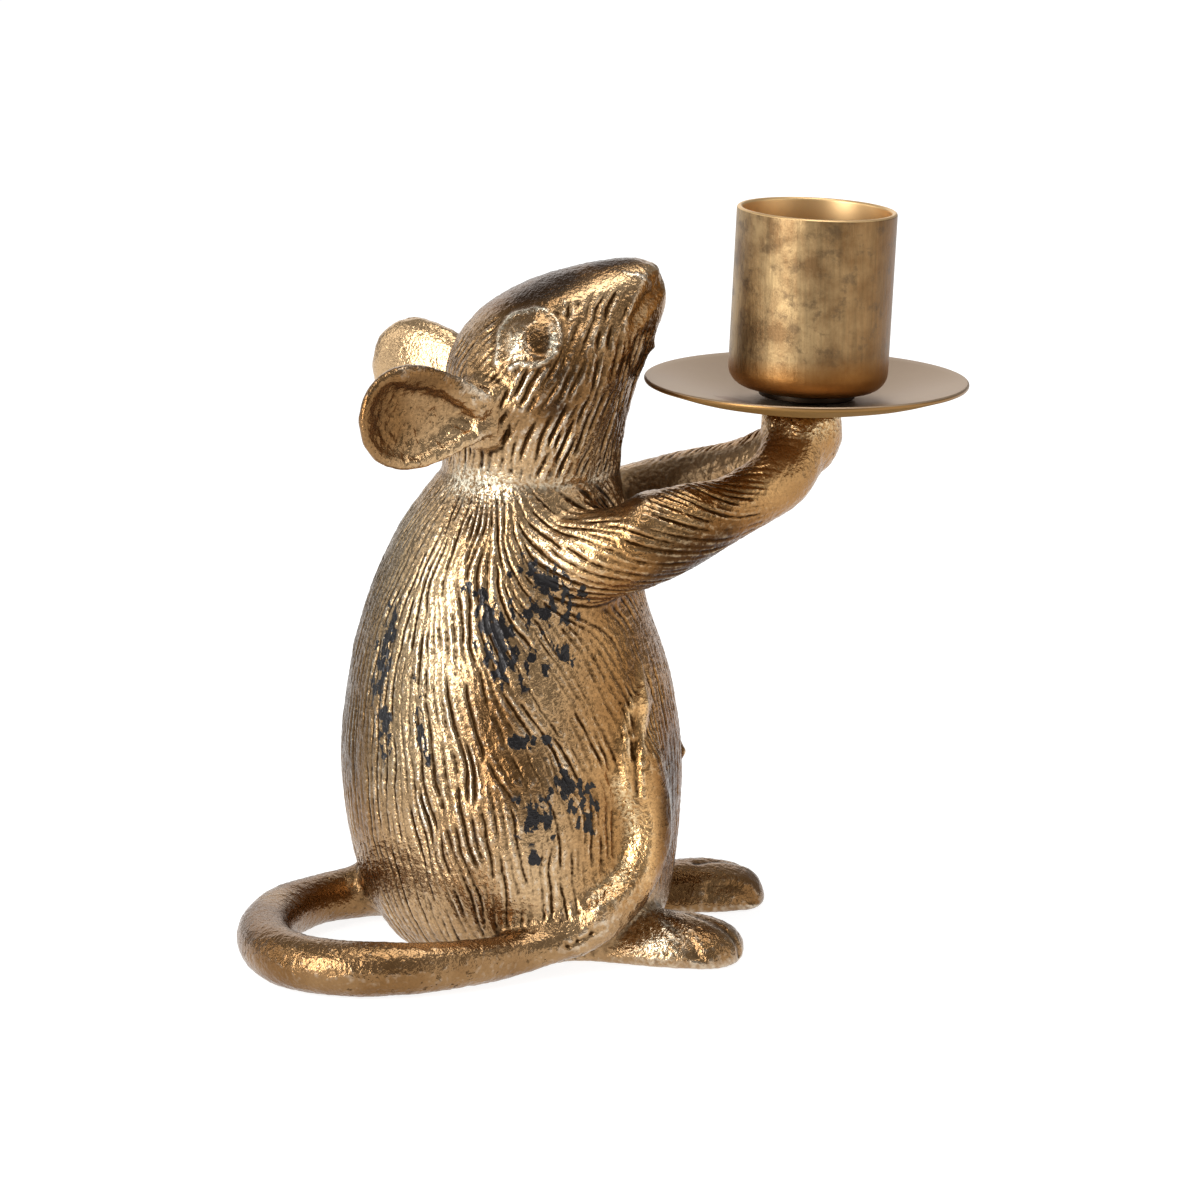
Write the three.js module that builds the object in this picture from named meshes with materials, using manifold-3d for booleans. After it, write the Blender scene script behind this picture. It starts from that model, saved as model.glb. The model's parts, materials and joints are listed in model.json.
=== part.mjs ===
// Mouse candle holder: a cast aluminium mouse sits up and holds a drip pan and a candle cup in its paws.
// The mouse is two hollow body halves welded along the middle plane, a head welded on at the neck,
// and a tail welded on at the rump and at the flank, where the right half carries its tip.
// The pan and the cup are turned pieces, clamped by one screw.
// Millimetres, +Z up, the mouse faces +X, its right side faces -Y, and it stands on Z = 0.

import * as THREE from "three";
import { mergeVertices } from "three/addons/utils/BufferGeometryUtils.js";
import Module from "manifold-3d";

const wasm = await Module();
wasm.setup();

// Driving dimensions: the castings
const TORSO_HEIGHT = 73.5; // floor to the neck joint
const TORSO_DEPTH = 53.2; // belly to back
const TORSO_WIDTH = 51;
const CASTING_WALL = 4;
const HEAD_RISE = 33; // neck joint to the top of the snout
const HEAD_DEPTH = 29.6; // throat to nape
const HEAD_WIDTH = 33;
const NAPE_OFFSET = -10.6; // from the torso's middle back to the nape
const EAR_LENGTH = 25.6;
const EAR_WIDTH = 16.8;
const EAR_THICKNESS = 2;
const EAR_BOWL = 2.6;
const EAR_SPLAY = 28; // degrees, from the middle plane outward
const EYE_RADIUS = 3.4;
const UPPER_ARM_RADIUS = 7.2;
const FOREARM_RADIUS = 5.5;
const SHOULDER_HEIGHT = 62;
const SHOULDER_SPREAD = 15.5;
const PAW_RADIUS = 6;
const PAW_HEIGHT = 7;
const FOOT_LENGTH = 31;
const FOOT_WIDTH = 14.6;
const FOOT_HEIGHT = 7.6;
const FOOT_SPREAD = 12; // middle plane to the middle of a heel
const FOOT_SPLAY = 9; // degrees, toes outward
const FOOT_LEAD = 4; // the left foot stands this much ahead of the right one
const RIGHT_HEEL = 4.6; // from the torso's middle forward to the right heel
const HAUNCH_BULGE = 2.4; // how far a thigh stands proud of the flank
const TAIL_RADIUS = 4.5;
const TAIL_WELD_RADIUS = 3.1;
const TAIL_BACK_REACH = 11.8; // from the rump back to the middle of the tail
const TAIL_SIDE_REACH = 35.7; // from the middle plane out to the middle of the tail
const TAIL_TIP_HEIGHT = 47;
const TAIL_TIP_WIDTH = 7; // the widest place of the tip on the flank
const TAIL_TIP_PROUD = 2; // from the flank out to the middle of the tip, on average along its lower half

// Driving dimensions: the pan, the cup and their screw
const PAN_RADIUS = 24.9;
const PAN_THICKNESS = 1.3;
const PAN_DISH = 3.3; // how far the rim stands above the flat middle
const PAN_FLAT_RADIUS = 9;
const PAN_LEAN = 1.1; // degrees, to the front
const PAW_TOP = 83; // floor to the paws' flat top
const CHIN_CLEARANCE = 0.5;
const CUP_BORE_RADIUS = 11.4;
const CUP_WALL = 0.85;
const CUP_HEIGHT = 27.6;
const CUP_FLOOR = 1.6;
const CUP_CORNER = 3;
const CUP_LEAN = 2.8; // degrees, to the front
const SPACER_RADIUS = 7.4;
const SPACER_THICKNESS = 1;
const SCREW_RADIUS = 2;
const SCREW_HEAD_RADIUS = 3.8;
const SCREW_HEAD_HEIGHT = 2.4;
const SCREW_SLOT_WIDTH = 1;
const SCREW_SLOT_DEPTH = 1.1;
const SCREW_GRIP = 8; // thread held in the paws
const WASHER_RADIUS = 5.5;
const WASHER_THICKNESS = 0.8;

// Clearances and facets
const SEAM_GAP = 0.3; // between welded castings
const SEAT_GAP = 0.3; // between clamped pieces
const HOLE_CLEARANCE = 0.3; // round the screw
const BODY_SIDES = 36;
const LIMB_SIDES = 14;
const TURNED_SIDES = 48;
const SCREW_SIDES = 24;
const LARGE = 400; // a cutting block that reaches past everything

const rad = THREE.MathUtils.degToRad;
const point = (x, y, z) => new THREE.Vector3(x, y, z);

// Numbers between rows of numbers, on a smooth curve through the rows, for t from 0 to 1.
function between(rows, t) {
  const place = Math.min(t, 0.999999) * (rows.length - 1);
  const i = Math.floor(place);
  const f = place - i;
  const row = (n) => rows[Math.min(Math.max(n, 0), rows.length - 1)];
  const [p0, p1, p2, p3] = [row(i - 1), row(i), row(i + 1), row(i + 2)];
  return p1.map((v1, k) => {
    const slope1 = (p2[k] - p0[k]) / 2;
    const slope2 = (p3[k] - v1) / 2;
    const a = 2 * v1 - 2 * p2[k] + slope1 + slope2;
    const b = 3 * p2[k] - 3 * v1 - 2 * slope1 - slope2;
    return ((a * f + b) * f + slope1) * f + v1;
  });
}

// A closed skin over rings with equal counts of points. Each end is closed by a fan.
function skin(rings) {
  const count = rings[0].length;
  const points = rings.flat();
  const faces = [];
  for (let r = 0; r + 1 < rings.length; r += 1) {
    for (let i = 0; i < count; i += 1) {
      const a = r * count + i;
      const b = r * count + ((i + 1) % count);
      faces.push(a, b, b + count, a, b + count, a + count);
    }
  }
  const closeEnd = (ring, start, turned) => {
    const middle = ring.reduce((sum, p) => sum.add(p), point(0, 0, 0)).divideScalar(count);
    const hub = points.push(middle) - 1;
    for (let i = 0; i < count; i += 1) {
      const a = start + i;
      const b = start + ((i + 1) % count);
      faces.push(...(turned ? [hub, a, b] : [hub, b, a]));
    }
  };
  closeEnd(rings[0], 0, false);
  closeEnd(rings[rings.length - 1], (rings.length - 1) * count, true);
  return new THREE.BufferGeometry().setFromPoints(points).setIndex(faces);
}

// An oval ring round a middle, with its half sizes along two directions.
function ovalRing(middle, along, halfAlong, across, halfAcross, sides) {
  return Array.from({ length: sides }, (_, i) => {
    const angle = (i / sides) * 2 * Math.PI;
    return middle
      .clone()
      .addScaledVector(along, halfAlong * Math.cos(angle))
      .addScaledVector(across, halfAcross * Math.sin(angle));
  });
}

// A body on the middle plane through rows of [x, z, lean in degrees, half depth, half width].
function bodyLoft(rows, steps, sides, grow = 0, from = 0, to = 1) {
  const rings = Array.from({ length: steps + 1 }, (_, s) => {
    const [x, z, lean, depth, width] = between(rows, from + ((to - from) * s) / steps);
    const along = point(Math.cos(rad(lean)), 0, -Math.sin(rad(lean)));
    return ovalRing(point(x, 0, z), along, depth + grow, point(0, 1, 0), width + grow, sides);
  });
  return skin(rings);
}

const curveThrough = (points) => new THREE.CatmullRomCurve3(points, false, "centripetal");

// A round limb along a curve, with a radius from rows of [radius].
function limb(curve, radii, steps, sides) {
  const frames = curve.computeFrenetFrames(steps, false);
  const rings = frames.normals.map((normal, s) => {
    const [radius] = between(radii, s / steps);
    const middle = curve.getPointAt(s / steps);
    return ovalRing(middle, normal, radius, frames.binormals[s], radius, sides);
  });
  return skin(rings);
}

// The same shape on the other side of the middle plane.
function mirrored(geometry) {
  const copy = geometry.clone().scale(1, -1, 1);
  return copy.setIndex([...copy.getIndex().array].reverse());
}

// A turned piece about Z through points of [radius, height].
function turned(profile, sides) {
  const points = profile.map(([radius, height]) => new THREE.Vector2(radius, height));
  return new THREE.LatheGeometry(points, sides).rotateX(Math.PI / 2);
}

// Points of [radius, height] on a quarter or shorter arc.
function arc(radius, height, size, fromDegrees, toDegrees, steps) {
  return Array.from({ length: steps + 1 }, (_, s) => {
    const angle = rad(fromDegrees + ((toDegrees - fromDegrees) * s) / steps);
    return [radius + size * Math.cos(angle), height + size * Math.sin(angle)];
  });
}

// Solids for joining and cutting, and back.
function solid(geometry) {
  const plain = new THREE.BufferGeometry();
  plain.setAttribute("position", geometry.getAttribute("position"));
  plain.setIndex(geometry.getIndex());
  const merged = mergeVertices(plain, 1e-4);
  const mesh = new wasm.Mesh({
    numProp: 3,
    vertProperties: new Float32Array(merged.getAttribute("position").array),
    triVerts: new Uint32Array(merged.getIndex().array),
  });
  return new wasm.Manifold(mesh);
}

function geometryOf(shape) {
  const mesh = shape.getMesh();
  const geometry = new THREE.BufferGeometry();
  geometry.setAttribute("position", new THREE.BufferAttribute(mesh.vertProperties, 3));
  geometry.setIndex(new THREE.BufferAttribute(mesh.triVerts, 1));
  return geometry;
}

// A block that fills one side of a plane square to an axis.
function sideOf(axis, sign, offset) {
  const place = [0, 0, 0];
  place[axis] = offset + (sign * LARGE) / 2;
  return solid(new THREE.BoxGeometry(LARGE, LARGE, LARGE).translate(...place));
}

const join = (shapes) => shapes.reduce((sum, shape) => sum.add(shape));

// Torso: an egg of oval sections, as shares of its height, its depth before and behind, and its width
const TORSO_STATIONS = [
  [-0.02, -0.33, 0.36, 0.7],
  [0.06, -0.41, 0.444, 0.9],
  [0.17, -0.474, 0.47, 0.985],
  [0.38, -0.514, 0.489, 1],
  [0.58, -0.484, 0.456, 0.94],
  [0.68, -0.453, 0.403, 0.88],
  [0.78, -0.404, 0.366, 0.8],
  [0.9, -0.324, 0.33, 0.68],
  [1.0, -0.218, 0.306, 0.55],
  [1.06, -0.16, 0.3, 0.5],
];
const TORSO_ROWS = TORSO_STATIONS.map(([height, back, front, width]) => [
  ((back + front) / 2) * TORSO_DEPTH,
  height * TORSO_HEIGHT,
  0,
  ((front - back) / 2) * TORSO_DEPTH,
  (width * TORSO_WIDTH) / 2,
]);
const TORSO_RINGS = 22;

// Thighs: how far a low oval swelling lifts the flank at a place x along it and a height z.
function thighAt(x, z) {
  const forward = (x / TORSO_DEPTH - 0.03) / 0.3;
  const up = (z / TORSO_HEIGHT - 0.22) / 0.22;
  return HAUNCH_BULGE * Math.exp(-forward * forward - up * up);
}

// The torso's surface with its thighs.
function torsoLoft(steps, sides, grow = 0) {
  const geometry = bodyLoft(TORSO_ROWS, steps, sides, grow);
  const places = geometry.getAttribute("position");
  for (let i = 0; i < places.count; i += 1) {
    const y = places.getY(i);
    const share = (2 * y) / TORSO_WIDTH;
    places.setY(i, y + share * thighAt(places.getX(i), places.getZ(i)));
  }
  return geometry;
}

// Where the torso's right flank lies at a place x along it and a height z.
function flankAt(x, z) {
  let [low, high] = [0, 1];
  for (let i = 0; i < 30; i += 1) {
    const middle = (low + high) / 2;
    if (between(TORSO_ROWS, middle)[1] < z) low = middle;
    else high = middle;
  }
  const [centre, , , depth, width] = between(TORSO_ROWS, low);
  const across = Math.min(Math.abs(x - centre) / depth, 0.98);
  const y = -width * Math.sqrt(1 - across * across);
  return y + ((2 * y) / TORSO_WIDTH) * thighAt(x, z);
}

// Head: oval sections that turn from the neck to the snout, as shares of [depth, rise, lean, depth, width]
const HEAD_STATIONS = [
  [0.447, -0.06, 0, 0.462, 0.84],
  [0.46, 0.2, 0, 0.474, 0.93],
  [0.494, 0.43, 2, 0.502, 1],
  [0.545, 0.565, 6, 0.502, 0.94],
  [0.644, 0.69, 12, 0.45, 0.78],
  [0.774, 0.792, 19, 0.354, 0.58],
  [0.898, 0.852, 27, 0.267, 0.41],
  [1.0, 0.892, 38, 0.188, 0.28],
  [1.085, 0.915, 55, 0.115, 0.17],
  [1.122, 0.924, 62, 0.045, 0.07],
];
const HEAD_ROWS = HEAD_STATIONS.map(([x, rise, lean, depth, width]) => [
  NAPE_OFFSET + x * HEAD_DEPTH,
  TORSO_HEIGHT + rise * HEAD_RISE,
  lean,
  depth * HEAD_DEPTH,
  (width * HEAD_WIDTH) / 2,
]);
const HEAD_RINGS = 22;

// How far forward the throat reaches at a height z.
function throatAt(z) {
  const samples = 200;
  let best = { gap: Infinity, x: 0 };
  for (let s = 0; s <= samples; s += 1) {
    const [x, height, lean, depth] = between(HEAD_ROWS, s / samples);
    const front = { x: x + depth * Math.cos(rad(lean)), z: height - depth * Math.sin(rad(lean)) };
    const gap = Math.abs(front.z - z);
    if (gap < best.gap) best = { gap, x: front.x };
  }
  return best.x;
}

// The stack on the paws: heights above the paws' flat top, and its place in front of the throat
const PAN_BASE = SEAT_GAP;
const TILT_GAP = SPACER_RADIUS * Math.sin(rad(Math.abs(CUP_LEAN - PAN_LEAN)));
const SPACER_BASE = PAN_BASE + PAN_THICKNESS + SEAT_GAP + TILT_GAP;
const CUP_BASE = SPACER_BASE + SPACER_THICKNESS + SEAT_GAP;
const WASHER_BASE = CUP_BASE + CUP_FLOOR + SEAT_GAP;
const SCREW_HEAD_BASE = WASHER_BASE + WASHER_THICKNESS + SEAT_GAP;
const RIM_HEIGHT = PAW_TOP + PAN_BASE + PAN_DISH + PAN_THICKNESS;
const HOLE_RADIUS = SCREW_RADIUS + HOLE_CLEARANCE;
const PAN_PLACE = throatAt(RIM_HEIGHT + PAN_RADIUS * Math.sin(rad(PAN_LEAN))) + CHIN_CLEARANCE + PAN_RADIUS;

// The frame of a leaning piece whose foot is at the middle of the paws' top.
function leaning(degrees) {
  const group = new THREE.Group();
  group.position.set(PAN_PLACE, 0, PAW_TOP);
  group.rotation.y = rad(degrees);
  group.updateMatrix();
  return group;
}
const panFrame = leaning(PAN_LEAN);
const cupFrame = leaning(CUP_LEAN);

// Feet: long low pads, flat on the floor, from a narrow heel under the thigh to round toes.
// Each station is [length, width, height], as shares of the foot's own sizes.
const FOOT_STATIONS = [
  [0, 0.3, 0.3],
  [0.06, 0.55, 0.55],
  [0.3, 0.8, 0.85],
  [0.6, 0.98, 1],
  [0.82, 1, 0.88],
  [0.95, 0.78, 0.64],
  [1, 0.36, 0.3],
];
function foot(heel, grow = 0) {
  const steps = 14;
  const rings = Array.from({ length: steps + 1 }, (_, s) => {
    const [share, width, height] = between(FOOT_STATIONS, s / steps);
    const middle = point(share * FOOT_LENGTH, 0, 0.1 * FOOT_HEIGHT);
    const halfWidth = (width * FOOT_WIDTH) / 2 + grow;
    const halfHeight = 0.9 * height * FOOT_HEIGHT + grow;
    return ovalRing(middle, point(0, 1, 0), halfWidth, point(0, 0, 1), halfHeight, LIMB_SIDES);
  });
  return skin(rings).rotateZ(rad(FOOT_SPLAY)).translate(heel, FOOT_SPREAD, 0);
}

// Left arm: from inside the shoulder, forward and up, to the side of the paws
function arm() {
  const shoulder = 0.15 * TORSO_DEPTH;
  const inner = PAW_RADIUS / 2;
  const reach = PAN_PLACE - shoulder;
  const spread = SHOULDER_SPREAD - inner;
  const rise = PAW_TOP - PAW_HEIGHT - SHOULDER_HEIGHT;
  const along = (forward, up, out) =>
    point(shoulder + forward * reach, inner + out * spread, SHOULDER_HEIGHT + up * rise);
  const underTop = point(shoulder + 0.99 * reach, inner, PAW_TOP - 0.16 * PAW_HEIGHT);
  const route = [
    along(-0.16, 0, 0.45),
    along(0.1, 0.06, 0.9),
    along(0.3, 0.2, 1),
    along(0.54, 0.45, 0.8),
    along(0.79, 0.72, 0.42),
    along(0.95, 1, 0.1),
    underTop,
  ];
  const radii = [
    [UPPER_ARM_RADIUS],
    [UPPER_ARM_RADIUS],
    [0.95 * UPPER_ARM_RADIUS],
    [(UPPER_ARM_RADIUS + FOREARM_RADIUS) / 2],
    [FOREARM_RADIUS],
    [FOREARM_RADIUS],
    [0.62 * FOREARM_RADIUS],
  ];
  return limb(curveThrough(route), radii, 18, LIMB_SIDES);
}

// Paws: one round stub under the pan, shared by both hands, faced flat on top
function paws() {
  const waist = 0.94 * PAW_RADIUS;
  const profile = [
    [0, -1.5 * PAW_HEIGHT],
    [0.5 * PAW_RADIUS, -1.42 * PAW_HEIGHT],
    [0.86 * PAW_RADIUS, -1.15 * PAW_HEIGHT],
    [PAW_RADIUS, -0.7 * PAW_HEIGHT],
    [waist, -0.25 * PAW_HEIGHT],
    [waist, 0],
    [0, 0],
  ];
  return turned(profile, SCREW_SIDES).applyMatrix4(panFrame.matrix);
}

// The tapped hole for the screw
function screwHole() {
  const depth = SCREW_GRIP + SEAT_GAP;
  const profile = [
    [0, -depth],
    [HOLE_RADIUS, -depth],
    [HOLE_RADIUS, SEAT_GAP],
    [0, SEAT_GAP],
  ];
  return turned(profile, SCREW_SIDES).applyMatrix4(cupFrame.matrix);
}

// The tail's tip, cast on the right half: up the front of the thigh, close along the flank.
// Each station is [forward, height, proud]: shares of the torso's depth, the tip's height and its stand-off.
const TIP_STATIONS = [
  [0.16, 0.12, 1.3],
  [0.246, 0.17, 1.35],
  [0.325, 0.25, 1.2],
  [0.376, 0.35, 0.9],
  [0.396, 0.45, 0.65],
  [0.388, 0.58, 0.4],
  [0.362, 0.75, 0.3],
  [0.346, 0.88, 0.2],
  [0.356, 1, 0.1],
];
const tipCurve = curveThrough(
  TIP_STATIONS.map(([forward, height, proud]) => {
    const x = forward * TORSO_DEPTH;
    const z = height * TAIL_TIP_HEIGHT;
    return point(x, flankAt(x, z) - proud * TAIL_TIP_PROUD, z);
  }),
);
function tailTip() {
  const wide = TAIL_TIP_WIDTH / 2;
  const shares = [0.92, 1, 1, 0.94, 0.8, 0.6, 0.2];
  return limb(tipCurve, [[TAIL_WELD_RADIUS], ...shares.map((share) => [share * wide])], 26, LIMB_SIDES);
}

// Body casting, whole, and then its two halves
const aboveFloor = sideOf(2, 1, 0);
const belowNeck = sideOf(2, -1, TORSO_HEIGHT - SEAM_GAP / 2);
const aboveNeck = sideOf(2, 1, TORSO_HEIGHT + SEAM_GAP / 2);
const torso = solid(torsoLoft(TORSO_RINGS, BODY_SIDES)).intersect(belowNeck);
const cavity = solid(torsoLoft(14, 28, -CASTING_WALL)).intersect(sideOf(2, 1, CASTING_WALL));
const leftLimbs = [arm(), foot(RIGHT_HEEL + FOOT_LEAD)];
const rightLimbs = [mirrored(arm()), mirrored(foot(RIGHT_HEEL)), tailTip()];
const body = join([torso, ...[...leftLimbs, ...rightLimbs, paws()].map(solid)])
  .subtract(cavity)
  .subtract(solid(screwHole()))
  .intersect(aboveFloor);
const rightHalf = body.intersect(sideOf(1, -1, -SEAM_GAP / 2));
const leftHalf = body.intersect(sideOf(1, 1, SEAM_GAP / 2));

// Left ear: a teardrop dish with a thick rim, its point in the side of the head and its bowl facing out.
// Each ring is [size, depth as a share of the bowl, depth as a share of the thickness].
const EAR_RINGS = [
  [0.03, -1, 0],
  [0.45, -0.92, 0],
  [0.7, -0.6, 0],
  [0.84, -0.1, 0],
  [0.92, 0, 0],
  [1, 0, -0.4],
  [0.96, 0, -0.95],
  [0.8, -0.35, -1],
  [0.5, -0.75, -1],
  [0.03, -1, -1],
];
const TEARDROP_PEAK = 0.77; // the greatest value of sin(a) sin(a / 2)
function ear() {
  const sides = 26;
  const focus = -0.58 * EAR_LENGTH;
  const rings = EAR_RINGS.map(([size, bowl, thickness]) =>
    Array.from({ length: sides }, (_, i) => {
      const angle = (i / sides) * 2 * Math.PI;
      const x = ((Math.cos(angle) - 1) * EAR_LENGTH) / 2;
      const z = (Math.sin(angle) * Math.sin(angle / 2) * EAR_WIDTH) / 2 / TEARDROP_PEAK;
      return point(focus + size * (x - focus), bowl * EAR_BOWL + thickness * EAR_THICKNESS, size * z);
    }),
  );
  const root = point(NAPE_OFFSET + 0.355 * HEAD_DEPTH, 0.415 * HEAD_WIDTH, TORSO_HEIGHT + 0.33 * HEAD_RISE);
  return skin(rings).rotateY(rad(4)).rotateZ(rad(-EAR_SPLAY)).translate(root.x, root.y, root.z);
}

// Left eye: a low round lens on the cheek
function eye() {
  const middle = point(NAPE_OFFSET + 0.45 * HEAD_DEPTH, 0.3 * HEAD_WIDTH, TORSO_HEIGHT + 0.665 * HEAD_RISE);
  return new THREE.SphereGeometry(EYE_RADIUS, 14, 10).translate(middle.x, middle.y, middle.z);
}

const headHollow = solid(bodyLoft(HEAD_ROWS, 10, 24, -CASTING_WALL, 0, 0.62));
const face = [ear(), eye()];
const head = join([bodyLoft(HEAD_ROWS, HEAD_RINGS, BODY_SIDES), ...face, ...face.map(mirrored)].map(solid))
  .subtract(headHollow)
  .intersect(aboveNeck);

// Tail: from the rump back and round in a loop on the floor, to the weld at the tip's foot.
// Each station is [back, left], as shares of the tail's reach back and its reach to the side.
const TAIL_STATIONS = [
  [-0.85, 0.3],
  [-0.3, 0.22],
  [0.24, 0.12],
  [0.58, 0.01],
  [0.86, -0.18],
  [1, -0.45],
  [0.84, -0.72],
  [0.52, -0.885],
  [0, -0.975],
  [-0.58, -1],
  [-1, -0.985],
  [-1.64, -0.91],
  [-2.3, -0.78],
];
function tail() {
  const rump = -0.5 * TORSO_DEPTH;
  const lie = 0.94 * TAIL_RADIUS;
  const loop = TAIL_STATIONS.map(([back, left]) =>
    point(rump - back * TAIL_BACK_REACH, left * TAIL_SIDE_REACH, lie),
  );
  const weld = tipCurve.getPoint(0);
  const onward = tipCurve.getTangent(0);
  const pastWeld = weld.clone().addScaledVector(onward, TAIL_WELD_RADIUS);
  const radii = [
    [1.08 * TAIL_RADIUS],
    [0.97 * TAIL_RADIUS],
    [TAIL_RADIUS],
    [TAIL_RADIUS],
    [(TAIL_RADIUS + TAIL_WELD_RADIUS) / 2],
    [TAIL_WELD_RADIUS],
  ];
  const loose = solid(limb(curveThrough([...loop, pastWeld]), radii, 40, 12));
  const block = 4 * TAIL_RADIUS;
  const afterWeld = new THREE.BoxGeometry(block, block, block).translate(0, 0, block / 2 - SEAM_GAP);
  afterWeld.applyQuaternion(new THREE.Quaternion().setFromUnitVectors(point(0, 0, 1), onward));
  const bodyWithGap = [
    afterWeld.translate(weld.x, weld.y, weld.z),
    torsoLoft(TORSO_RINGS, BODY_SIDES, SEAM_GAP),
    mirrored(foot(RIGHT_HEEL, SEAM_GAP)),
  ];
  return bodyWithGap.map(solid).reduce((left, cut) => left.subtract(cut), loose).intersect(aboveFloor);
}

// Drip pan: a shallow dish with a flat middle and a hole for the screw
function dripPan() {
  const run = PAN_RADIUS - PAN_FLAT_RADIUS;
  const slope = (radius) => PAN_DISH * (Math.max(radius - PAN_FLAT_RADIUS, 0) / run) ** 1.6;
  const steps = 5;
  const radii = Array.from({ length: steps + 1 }, (_, s) => PAN_FLAT_RADIUS + (run * s) / steps);
  const under = radii.map((radius) => [radius, slope(radius)]);
  const over = radii.map((radius) => [radius, slope(radius) + PAN_THICKNESS]).reverse();
  const profile = [[HOLE_RADIUS, 0], ...under, ...over, [HOLE_RADIUS, PAN_THICKNESS], [HOLE_RADIUS, 0]];
  return turned(profile, TURNED_SIDES).translate(0, 0, PAN_BASE);
}

// A plain ring round the screw, for the spacer under the cup and the washer in it
function ring(radius, thickness, base) {
  const profile = [
    [HOLE_RADIUS, base],
    [radius, base],
    [radius, base + thickness],
    [HOLE_RADIUS, base + thickness],
    [HOLE_RADIUS, base],
  ];
  return turned(profile, TURNED_SIDES);
}

// Candle cup: a turned cup with a rounded bottom edge, a rounded lip and a hole in its floor
function candleCup() {
  const outer = CUP_BORE_RADIUS + CUP_WALL;
  const inside = Math.max(CUP_CORNER - CUP_WALL, CUP_WALL);
  const top = CUP_HEIGHT - CUP_WALL / 2;
  const profile = [
    [HOLE_RADIUS, 0],
    ...arc(outer - CUP_CORNER, CUP_CORNER, CUP_CORNER, -90, 0, 4),
    ...arc(CUP_BORE_RADIUS + CUP_WALL / 2, top, CUP_WALL / 2, 0, 180, 4),
    ...arc(CUP_BORE_RADIUS - inside, CUP_FLOOR + inside, inside, 0, -90, 3),
    [HOLE_RADIUS, CUP_FLOOR],
    [HOLE_RADIUS, 0],
  ];
  return turned(profile, TURNED_SIDES).translate(0, 0, CUP_BASE);
}

// Fixing screw: a round-headed machine screw with a slot
function fixingScrew() {
  const top = SCREW_HEAD_BASE + SCREW_HEAD_HEIGHT;
  const crown = SCREW_HEAD_HEIGHT / 2;
  const profile = [
    [0, -SCREW_GRIP],
    [SCREW_RADIUS, -SCREW_GRIP],
    [SCREW_RADIUS, SCREW_HEAD_BASE],
    [SCREW_HEAD_RADIUS, SCREW_HEAD_BASE],
    ...arc(SCREW_HEAD_RADIUS - crown, top - crown, crown, 0, 90, 3),
    [0, top],
  ];
  const slot = new THREE.BoxGeometry(3 * SCREW_HEAD_RADIUS, SCREW_SLOT_WIDTH, 2 * SCREW_SLOT_DEPTH);
  slot.translate(0, 0, top);
  return geometryOf(solid(turned(profile, SCREW_SIDES)).subtract(solid(slot)));
}

// The assembly
const antiqueGold = { color: 0x8f6a38, metalness: 1, roughness: 0.42 };
const cast = () => new THREE.MeshStandardMaterial(antiqueGold);
const spun = () => new THREE.MeshStandardMaterial({ color: 0xa98a5e, metalness: 1, roughness: 0.34 });
const steel = () => new THREE.MeshStandardMaterial({ color: 0x6e675c, metalness: 1, roughness: 0.4 });

function piece(name, geometry, material, parent) {
  geometry.computeVertexNormals();
  const mesh = new THREE.Mesh(geometry, material);
  mesh.name = name;
  parent.add(mesh);
}

const holder = new THREE.Group();
piece("right_body_half", geometryOf(rightHalf), cast(), holder);
piece("left_body_half", geometryOf(leftHalf), cast(), holder);
piece("head", geometryOf(head), cast(), holder);
piece("tail", geometryOf(tail()), cast(), holder);
holder.add(panFrame, cupFrame);
piece("drip_pan", dripPan(), spun(), panFrame);
piece("cup_spacer", ring(SPACER_RADIUS, SPACER_THICKNESS, SPACER_BASE), steel(), cupFrame);
piece("candle_cup", candleCup(), spun(), cupFrame);
piece("screw_washer", ring(WASHER_RADIUS, WASHER_THICKNESS, WASHER_BASE), steel(), cupFrame);
piece("fixing_screw", fixingScrew(), steel(), cupFrame);

// The origin is on the floor, under the middle of the whole part.
const box = new THREE.Box3().setFromObject(holder, true);
holder.position.set(-(box.min.x + box.max.x) / 2, -(box.min.y + box.max.y) / 2, 0);

const part = new THREE.Group();
part.add(holder);

export default part;
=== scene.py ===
"""Mouse candle holder: a cast and chased mouse that holds a drip pan and a candle cup in its raised paws."""

import json
import math

import bpy
import numpy as np
from mathutils import Matrix, Vector, kdtree, noise
from mathutils.bvhtree import BVHTree

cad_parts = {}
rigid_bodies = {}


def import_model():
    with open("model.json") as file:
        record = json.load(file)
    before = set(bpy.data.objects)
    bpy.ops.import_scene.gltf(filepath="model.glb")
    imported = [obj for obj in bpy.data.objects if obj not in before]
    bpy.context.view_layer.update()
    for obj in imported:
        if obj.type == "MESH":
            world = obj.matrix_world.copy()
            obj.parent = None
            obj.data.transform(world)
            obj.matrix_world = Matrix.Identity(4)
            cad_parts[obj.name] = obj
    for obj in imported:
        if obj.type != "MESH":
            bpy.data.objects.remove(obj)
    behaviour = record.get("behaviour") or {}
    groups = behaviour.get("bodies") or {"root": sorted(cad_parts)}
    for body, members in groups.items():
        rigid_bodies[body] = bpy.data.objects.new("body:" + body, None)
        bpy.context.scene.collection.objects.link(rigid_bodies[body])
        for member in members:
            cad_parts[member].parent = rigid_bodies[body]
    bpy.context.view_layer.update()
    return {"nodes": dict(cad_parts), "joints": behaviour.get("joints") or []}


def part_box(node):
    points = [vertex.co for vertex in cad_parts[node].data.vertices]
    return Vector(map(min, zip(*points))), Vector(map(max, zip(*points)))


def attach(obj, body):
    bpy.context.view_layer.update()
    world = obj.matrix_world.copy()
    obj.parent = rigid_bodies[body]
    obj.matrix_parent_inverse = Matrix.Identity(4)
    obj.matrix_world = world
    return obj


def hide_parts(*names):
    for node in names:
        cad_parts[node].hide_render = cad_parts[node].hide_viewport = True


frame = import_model()
MM = 0.001

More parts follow.
